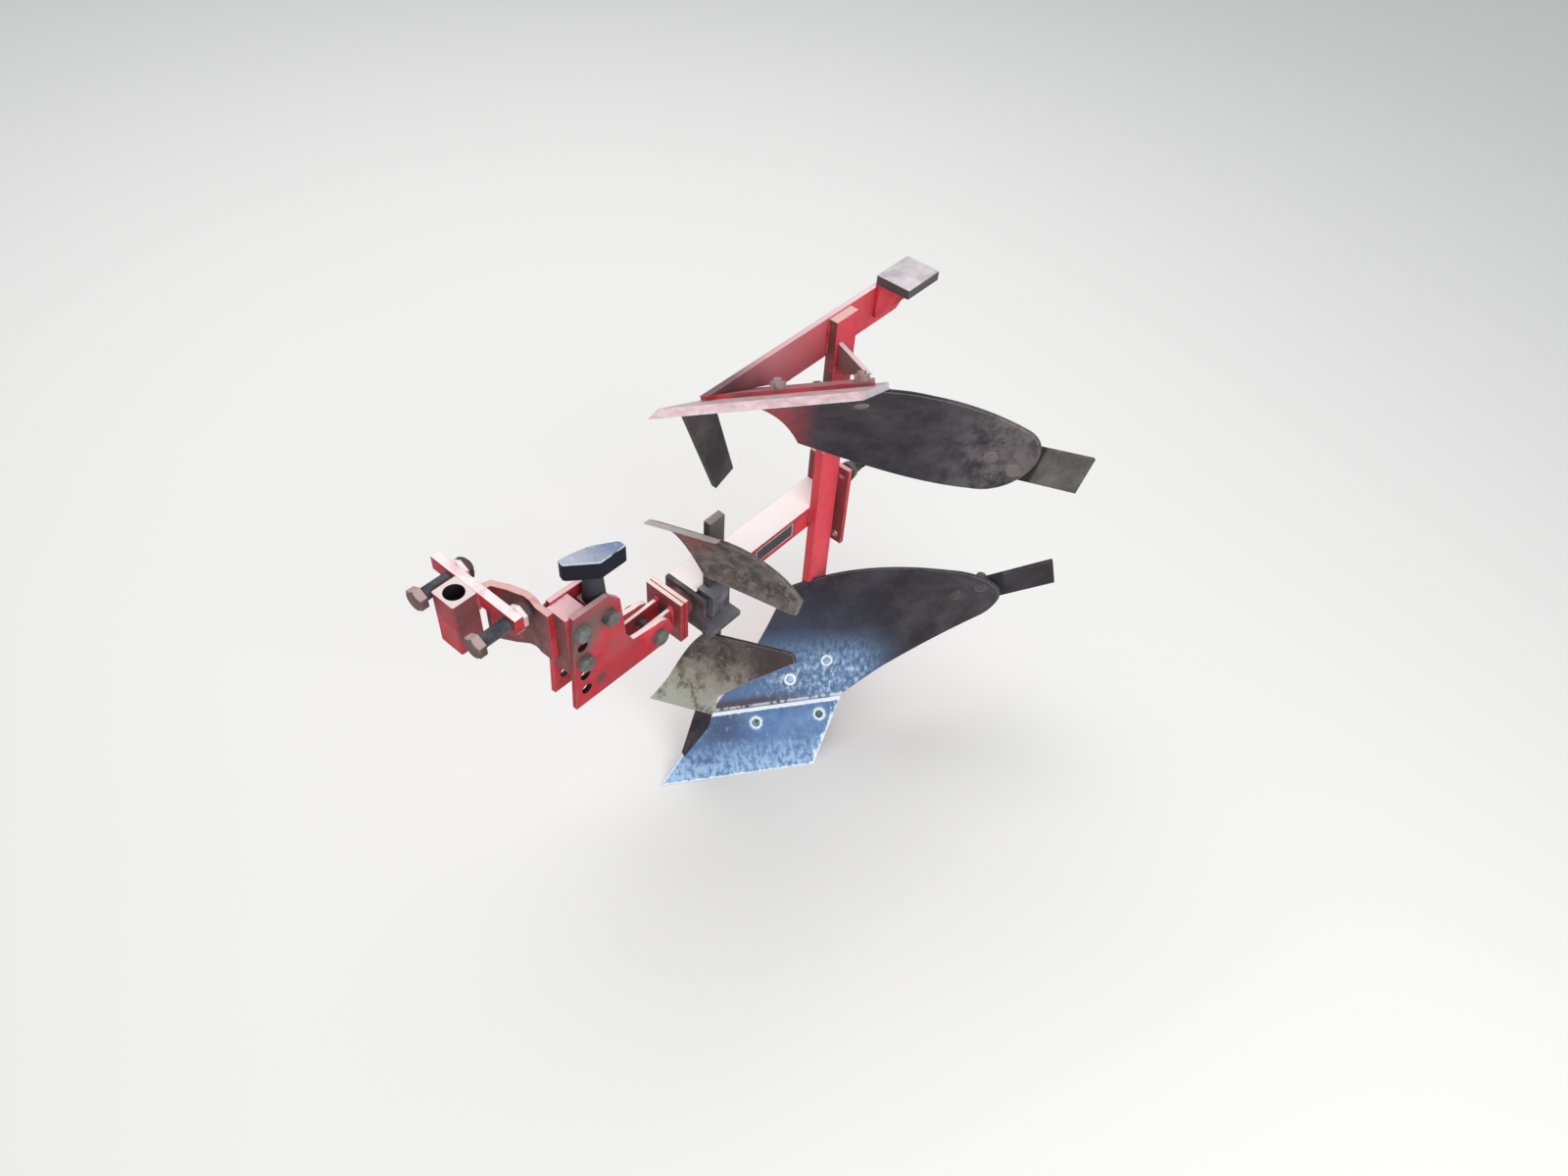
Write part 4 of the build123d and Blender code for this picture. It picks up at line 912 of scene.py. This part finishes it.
def mould_steel(name, side):
    """Patina with the polished field, blue with painted sky reflection, placed along and across the share.
    """
    made, tree, shader = material(name)
    tip, along, across = share_axes(side)
    u = run(tree, tip, along)
    v = run(tree, tip, across)
    fine = noise(tree, 80, 7, 0.74, seed=5)
    cloud = noise(tree, 16, 8, 0.70, seed=6)
    streak = scratches(tree, u, v, 125)
    colour = blend(tree, band(tree, cloud, 0.42, 0.66), PATINA, PATINA_PALE)
    wing = times(tree, band(tree, u, 0.42, 0.54), band(tree, noise(tree, 30, 8, 0.74, seed=9), 0.40, 0.58))
    colour = blend(tree, times(tree, wing, 0.95 if side == "upper" else 0.12), colour, WING_BROWN)
    if side == "lower":
        # Polished field, sea, flecks and bolt halos: blue painted sky reflection on the polished steel.
        field = times(tree, band(tree, v, 0.300, 0.170), band(tree, u, 0.44, 0.26))
        colour = blend(tree, times(tree, field, 0.9), colour, PATINA_AND_SKY_BLUE)
        slanted = plus(tree, u, 0.1, v)
        ragged = plus(tree, streak, 0.14, slanted)
        polish = times(tree, band(tree, ragged, 0.325, 0.275), band(tree, u, 0.42, 0.36))
        sea = times(tree, band(tree, slanted, 0.262, 0.205), band(tree, u, 0.455, 0.365))
        colour = blend(tree, times(tree, sea, 0.9), colour, SEA)
        toward_end = band(tree, u, 0.15, 0.30)
        flecks = times(tree, times(tree, polish, toward_end), band(tree, streak, 0.43, 0.58))
        colour = blend(tree, times(tree, flecks, 0.85), colour, SKY)
        bright = times(tree, times(tree, polish, toward_end), band(tree, streak, 0.56, 0.66))
        colour = blend(tree, bright, colour, SKY_PALE)
        for place in MOULD_BOLTS:
            halo = times(tree, near(tree, place, 0.020, 0.2), band(tree, streak, 0.44, 0.54))
            colour = blend(tree, times(tree, halo, 0.8), colour, SKY_PALE)
        rust = times(tree, band(tree, v, 0.134, 0.124), band(tree, u, 0.30, 0.20))
        colour = blend(tree, times(tree, rust, 0.85), colour, DARK_RUST)
        line = times(tree, band(tree, v, 0.118, 0.1165), band(tree, streak, 0.42, 0.5))
        colour = blend(tree, times(tree, line, 0.6), colour, BLUE_WHITE)
    else:
        red = blend(tree, band(tree, fine, 0.42, 0.6), SHIN_RED, SHIN_RUST)
        from_shin = plus(tree, cloud, 0.03, run(tree, SHIN_PLACE, SHIN_WAY))
        colour = blend(tree, times(tree, band(tree, from_shin, 0.042, -0.002), 0.95), colour, red)
    colour = blend(tree, times(tree, band(tree, fine, 0.58, 0.72), 0.35), colour, PATINA)
    finish(tree, shader, colour, 0.56, fine, 0.0005, 0.05, round_by=0.002, edge=EDGE_PALE, wear=0.9,
           gaps=0.30, gloss=0.2)
    return made


for side in ("upper", "lower"):
    dress(mould_steel("mould_steel_" + side, side), "mouldboard_" + side)


# Tail extensions and knives: flat bars bolted behind the wings, with the shadow
# of the gap beside each wing, and dark cut plates standing on the shares.
TAIL_AT = (-0.771, 0.390, -0.017)
TAIL_RUN = (-0.699, 0.649, -0.300)
AXIS_Z = -0.158
TAIL_DARK = (0.075, 0.066, 0.064, 1)
TAIL_BROWN = (0.155, 0.142, 0.138, 1)
TAIL_BLACK = (0.021, 0.019, 0.024, 1)
TAIL_GREY = (0.046, 0.042, 0.050, 1)
SHADED = (0.010, 0.008, 0.009, 1)
SHADE_TO = 0.023
KNIFE_BLACK = (0.028, 0.022, 0.024, 1)
KNIFE_BROWN = (0.085, 0.068, 0.070, 1)
KNIFE_RUBBED = (0.2, 0.17, 0.17, 1)


def flat_steel(name, seed, dark, light, top=None, edge=EDGE_PALE):
    """Bare flat steel, clouded from dark to light."""
    made, tree, shader = material(name)
    fine = noise(tree, 85, 5, 0.68, seed=seed + 3)
    colour = blend(tree, band(tree, noise(tree, 18, 6, 0.62, seed=seed), 0.38, 0.66), dark, light)
    if top:
        colour = blend(tree, times(tree, facing(tree, UP, 0.5, 0.85), 0.8), colour, top)
    colour = blend(tree, times(tree, band(tree, fine, 0.54, 0.72), 0.4), colour, dark)
    finish(tree, shader, colour, 0.55, fine, 0.0004, 0.1, edge=edge, gloss=0.2)
    return made


for side, seed, dark, light, way in (("upper", 1.0, TAIL_DARK, TAIL_BROWN, 1),
                                     ("lower", 2.0, TAIL_BLACK, TAIL_GREY, -1)):
    tail_steel = flat_steel("tail_steel_" + side, seed, dark, light)
    tree = tail_steel.node_tree
    start = (TAIL_AT[0], TAIL_AT[1], AXIS_Z + way * (TAIL_AT[2] - AXIS_Z))
    gone = run(tree, start, (TAIL_RUN[0], TAIL_RUN[1], way * TAIL_RUN[2]))
    by_wing = times(tree, band(tree, gone, SHADE_TO + 0.006, SHADE_TO), band(tree, gone, -0.004, 0.002))
    cover(tree, tree.nodes["Principled BSDF"], times(tree, by_wing, 0.9), SHADED)
    dress(tail_steel, "tail_extension_" + side)
knife_steel = flat_steel("knife_steel", 3.0, KNIFE_BLACK, KNIFE_BROWN, edge=KNIFE_RUBBED)
dress(knife_steel, "knife_upper", "knife_lower")


# Plough bolts: flush round heads in the shares and mouldboards, scoured with a bright rim on the lower body
# and dull on the upper one. The blue and teal of the lower heads are painted sky reflection, with painted
# glints. The nuts on top of the upper share are faded pink.
SHARE_HEADS = ((-0.4053, 0.1960, -0.5097), (-0.4951, 0.2646, -0.5097))
HEAD_RADIUS = 0.0120
HEAD_RIM = 0.0072
SHARE_NUTS_Z = 0.176
SHARE_NUTS_X = -0.52
BACK_DARK = (0.052, 0.046, 0.050, 1)
BACK_BROWN = (0.105, 0.094, 0.094, 1)
HEAD_DARK = (0.14, 0.125, 0.12, 1)
HEAD_LIGHT = (0.26, 0.235, 0.225, 1)
TEAL_DARK = (0.045, 0.085, 0.110, 1)
TEAL_PALE = (0.33, 0.50, 0.56, 1)
BOLT_BLUE = (0.24, 0.37, 0.56, 1)
NUT_PINK = (0.52, 0.38, 0.38, 1)
NUT_SHADE = (0.25, 0.16, 0.16, 1)


def head_steel_lower():
    """Scoured heads with a bright rim, dark in the middle on the share and pale on the mouldboard, with
    painted sky reflection and glints.
    """
    made, tree, shader = material("plough_bolt_steel_lower")
    fine = noise(tree, 160, 6, 0.72)
    colour = blend(tree, band(tree, fine, 0.40, 0.60), BACK_DARK, BACK_BROWN)
    for places, dark, pale in ((SHARE_HEADS, TEAL_DARK, TEAL_PALE), (MOULD_BOLTS, BOLT_BLUE, SKY_PALE)):
        # Middles of the heads: blue and teal painted sky reflection with painted glints.
        middle = blend(tree, band(tree, fine, 0.50, 0.62), dark, pale)
        for place in places:
            away = off(tree, (1, 1, 1), place)
            uneven = plus(tree, fine, 0.002, away)
            head = blend(tree, band(tree, uneven, HEAD_RIM + 0.0006, HEAD_RIM + 0.0014), middle, BLUE_WHITE)
            colour = blend(tree, band(tree, away, HEAD_RADIUS, HEAD_RADIUS - 0.0004), colour, head)
    finish(tree, shader, colour, 0.45, fine, 0.0003, 0.2)
    return made


dress(head_steel_lower(), "plough_bolts_lower")
upper_bolts = flat_steel("plough_bolt_steel_upper", 4.0, HEAD_DARK, HEAD_LIGHT)
tree = upper_bolts.node_tree
shader = tree.nodes["Principled BSDF"]
nut_tint = blend(tree, band(tree, noise(tree, 70, 6, 0.7), 0.38, 0.58), NUT_SHADE, NUT_PINK)
above = band(tree, run(tree, (0, 0, SHARE_NUTS_Z), UP), 0.0, 0.004)
share_nuts = times(tree, above, band(tree, run(tree, (SHARE_NUTS_X, 0, 0), FRONT), 0, 0.004))
cover(tree, shader, share_nuts, nut_tint)
dress(upper_bolts, "plough_bolts_upper")


# Skimmers, their bar and clamp: two small rolled mouldboards on a flat bar. The
# lower one is scoured pale towards its point, and paint is left on the upper.
SKIM_DARK = (0.060, 0.050, 0.047, 1)
SKIM_BROWN = (0.135, 0.112, 0.102, 1)
SKIM_PALE = (0.34, 0.305, 0.255, 1)
SKIM_GREEN = (0.41, 0.43, 0.36, 1)
SKIM_EDGE = (0.50, 0.43, 0.40, 1)
SKIM_RED = (0.30, 0.075, 0.085, 1)
SKIM_PURPLE = (0.050, 0.034, 0.037, 1)
SKIM_GREY = (0.215, 0.195, 0.185, 1)
SCOUR_FROM_Z = -0.242
SKIM_END_AT = (-0.325, 0.189, -0.251)
SKIM_END_WAY = (-0.36, 0.93, 0)
SKIM_RED_AT = (-0.298, 0.135, -0.012)


def skim_steel(name, side):
    """Brown steel, paler down the face of the lower skimmer and with red left on the upper one."""
    made, tree, shader = material(name)
    fine = noise(tree, 110, 8, 0.78, seed=3)
    cloud = noise(tree, 34, 8, 0.74, seed=4)
    colour = blend(tree, band(tree, cloud, 0.40, 0.58), SKIM_DARK, SKIM_BROWN)
    if side == "lower":
        grime = noise(tree, 42, 8, 0.76, seed=12, stretch=(1, 1, 0.4))
        down = plus(tree, cloud, 0.11, run(tree, (0, 0, SCOUR_FROM_Z), DOWN))
        colour = blend(tree, band(tree, down, 0.088, 0.122), colour, SKIM_PALE)
        colour = blend(tree, band(tree, down, 0.130, 0.152), colour, SKIM_GREEN)
        colour = blend(tree, times(tree, band(tree, grime, 0.53, 0.62), 0.7), colour, SKIM_DARK)
        colour = blend(tree, times(tree, band(tree, fine, 0.56, 0.64), 0.5), colour, SKIM_EDGE)
        to_end = band(tree, run(tree, SKIM_END_AT, SKIM_END_WAY), 0.030, 0.075)
        colour = blend(tree, times(tree, to_end, 0.85), colour, SKIM_PURPLE)
    else:
        mottled = times(tree, band(tree, noise(tree, 60, 8, 0.76, seed=8), 0.47, 0.58), 0.75)
        colour = blend(tree, mottled, colour, SKIM_GREY)
        left = times(tree, near(tree, SKIM_RED_AT, 0.055), band(tree, fine, 0.40, 0.54))
        colour = blend(tree, times(tree, left, 0.8), colour, SKIM_RED)
        colour = blend(tree, times(tree, facing(tree, UP, 0.7, 0.9), 0.7), colour, SKIM_EDGE)
    colour = blend(tree, times(tree, band(tree, fine, 0.56, 0.70), 0.4), colour, SKIM_DARK)
    finish(tree, shader, colour, 0.66, fine, 0.0008, 0.05, edge=SKIM_EDGE, wear=0.9, gaps=0.28, gloss=0.25)
    return made


for side in ("upper", "lower"):
    dress(skim_steel("skim_steel_" + side, side), "skimmer_" + side)
BAR_DARK = (0.075, 0.060, 0.056, 1)
BAR_BROWN = (0.17, 0.145, 0.135, 1)
BAR_TOP = (0.30, 0.26, 0.25, 1)
dress(flat_steel("bar_steel", 5.0, BAR_DARK, BAR_BROWN, top=BAR_TOP), "skimmer_bar")
CLAMP_DARK = (0.045, 0.042, 0.050, 1)
CLAMP_GREY = (0.145, 0.140, 0.160, 1)
CLAMP_TOP = (0.23, 0.225, 0.26, 1)
CLAMP_RUBBED = (0.24, 0.22, 0.23, 1)
clamp_black, tree, shader = material("clamp_black")
fine = noise(tree, 90, 5, 0.66)
colour = blend(tree, band(tree, noise(tree, 34, 5, 0.6), 0.40, 0.64), CLAMP_DARK, CLAMP_GREY)
colour = blend(tree, times(tree, facing(tree, UP, 0.4, 0.8), 0.8), colour, CLAMP_TOP)
finish(tree, shader, colour, 0.6, fine, 0.0004, edge=CLAMP_RUBBED, wear=0.6)
dress(clamp_black, "skimmer_clamp")
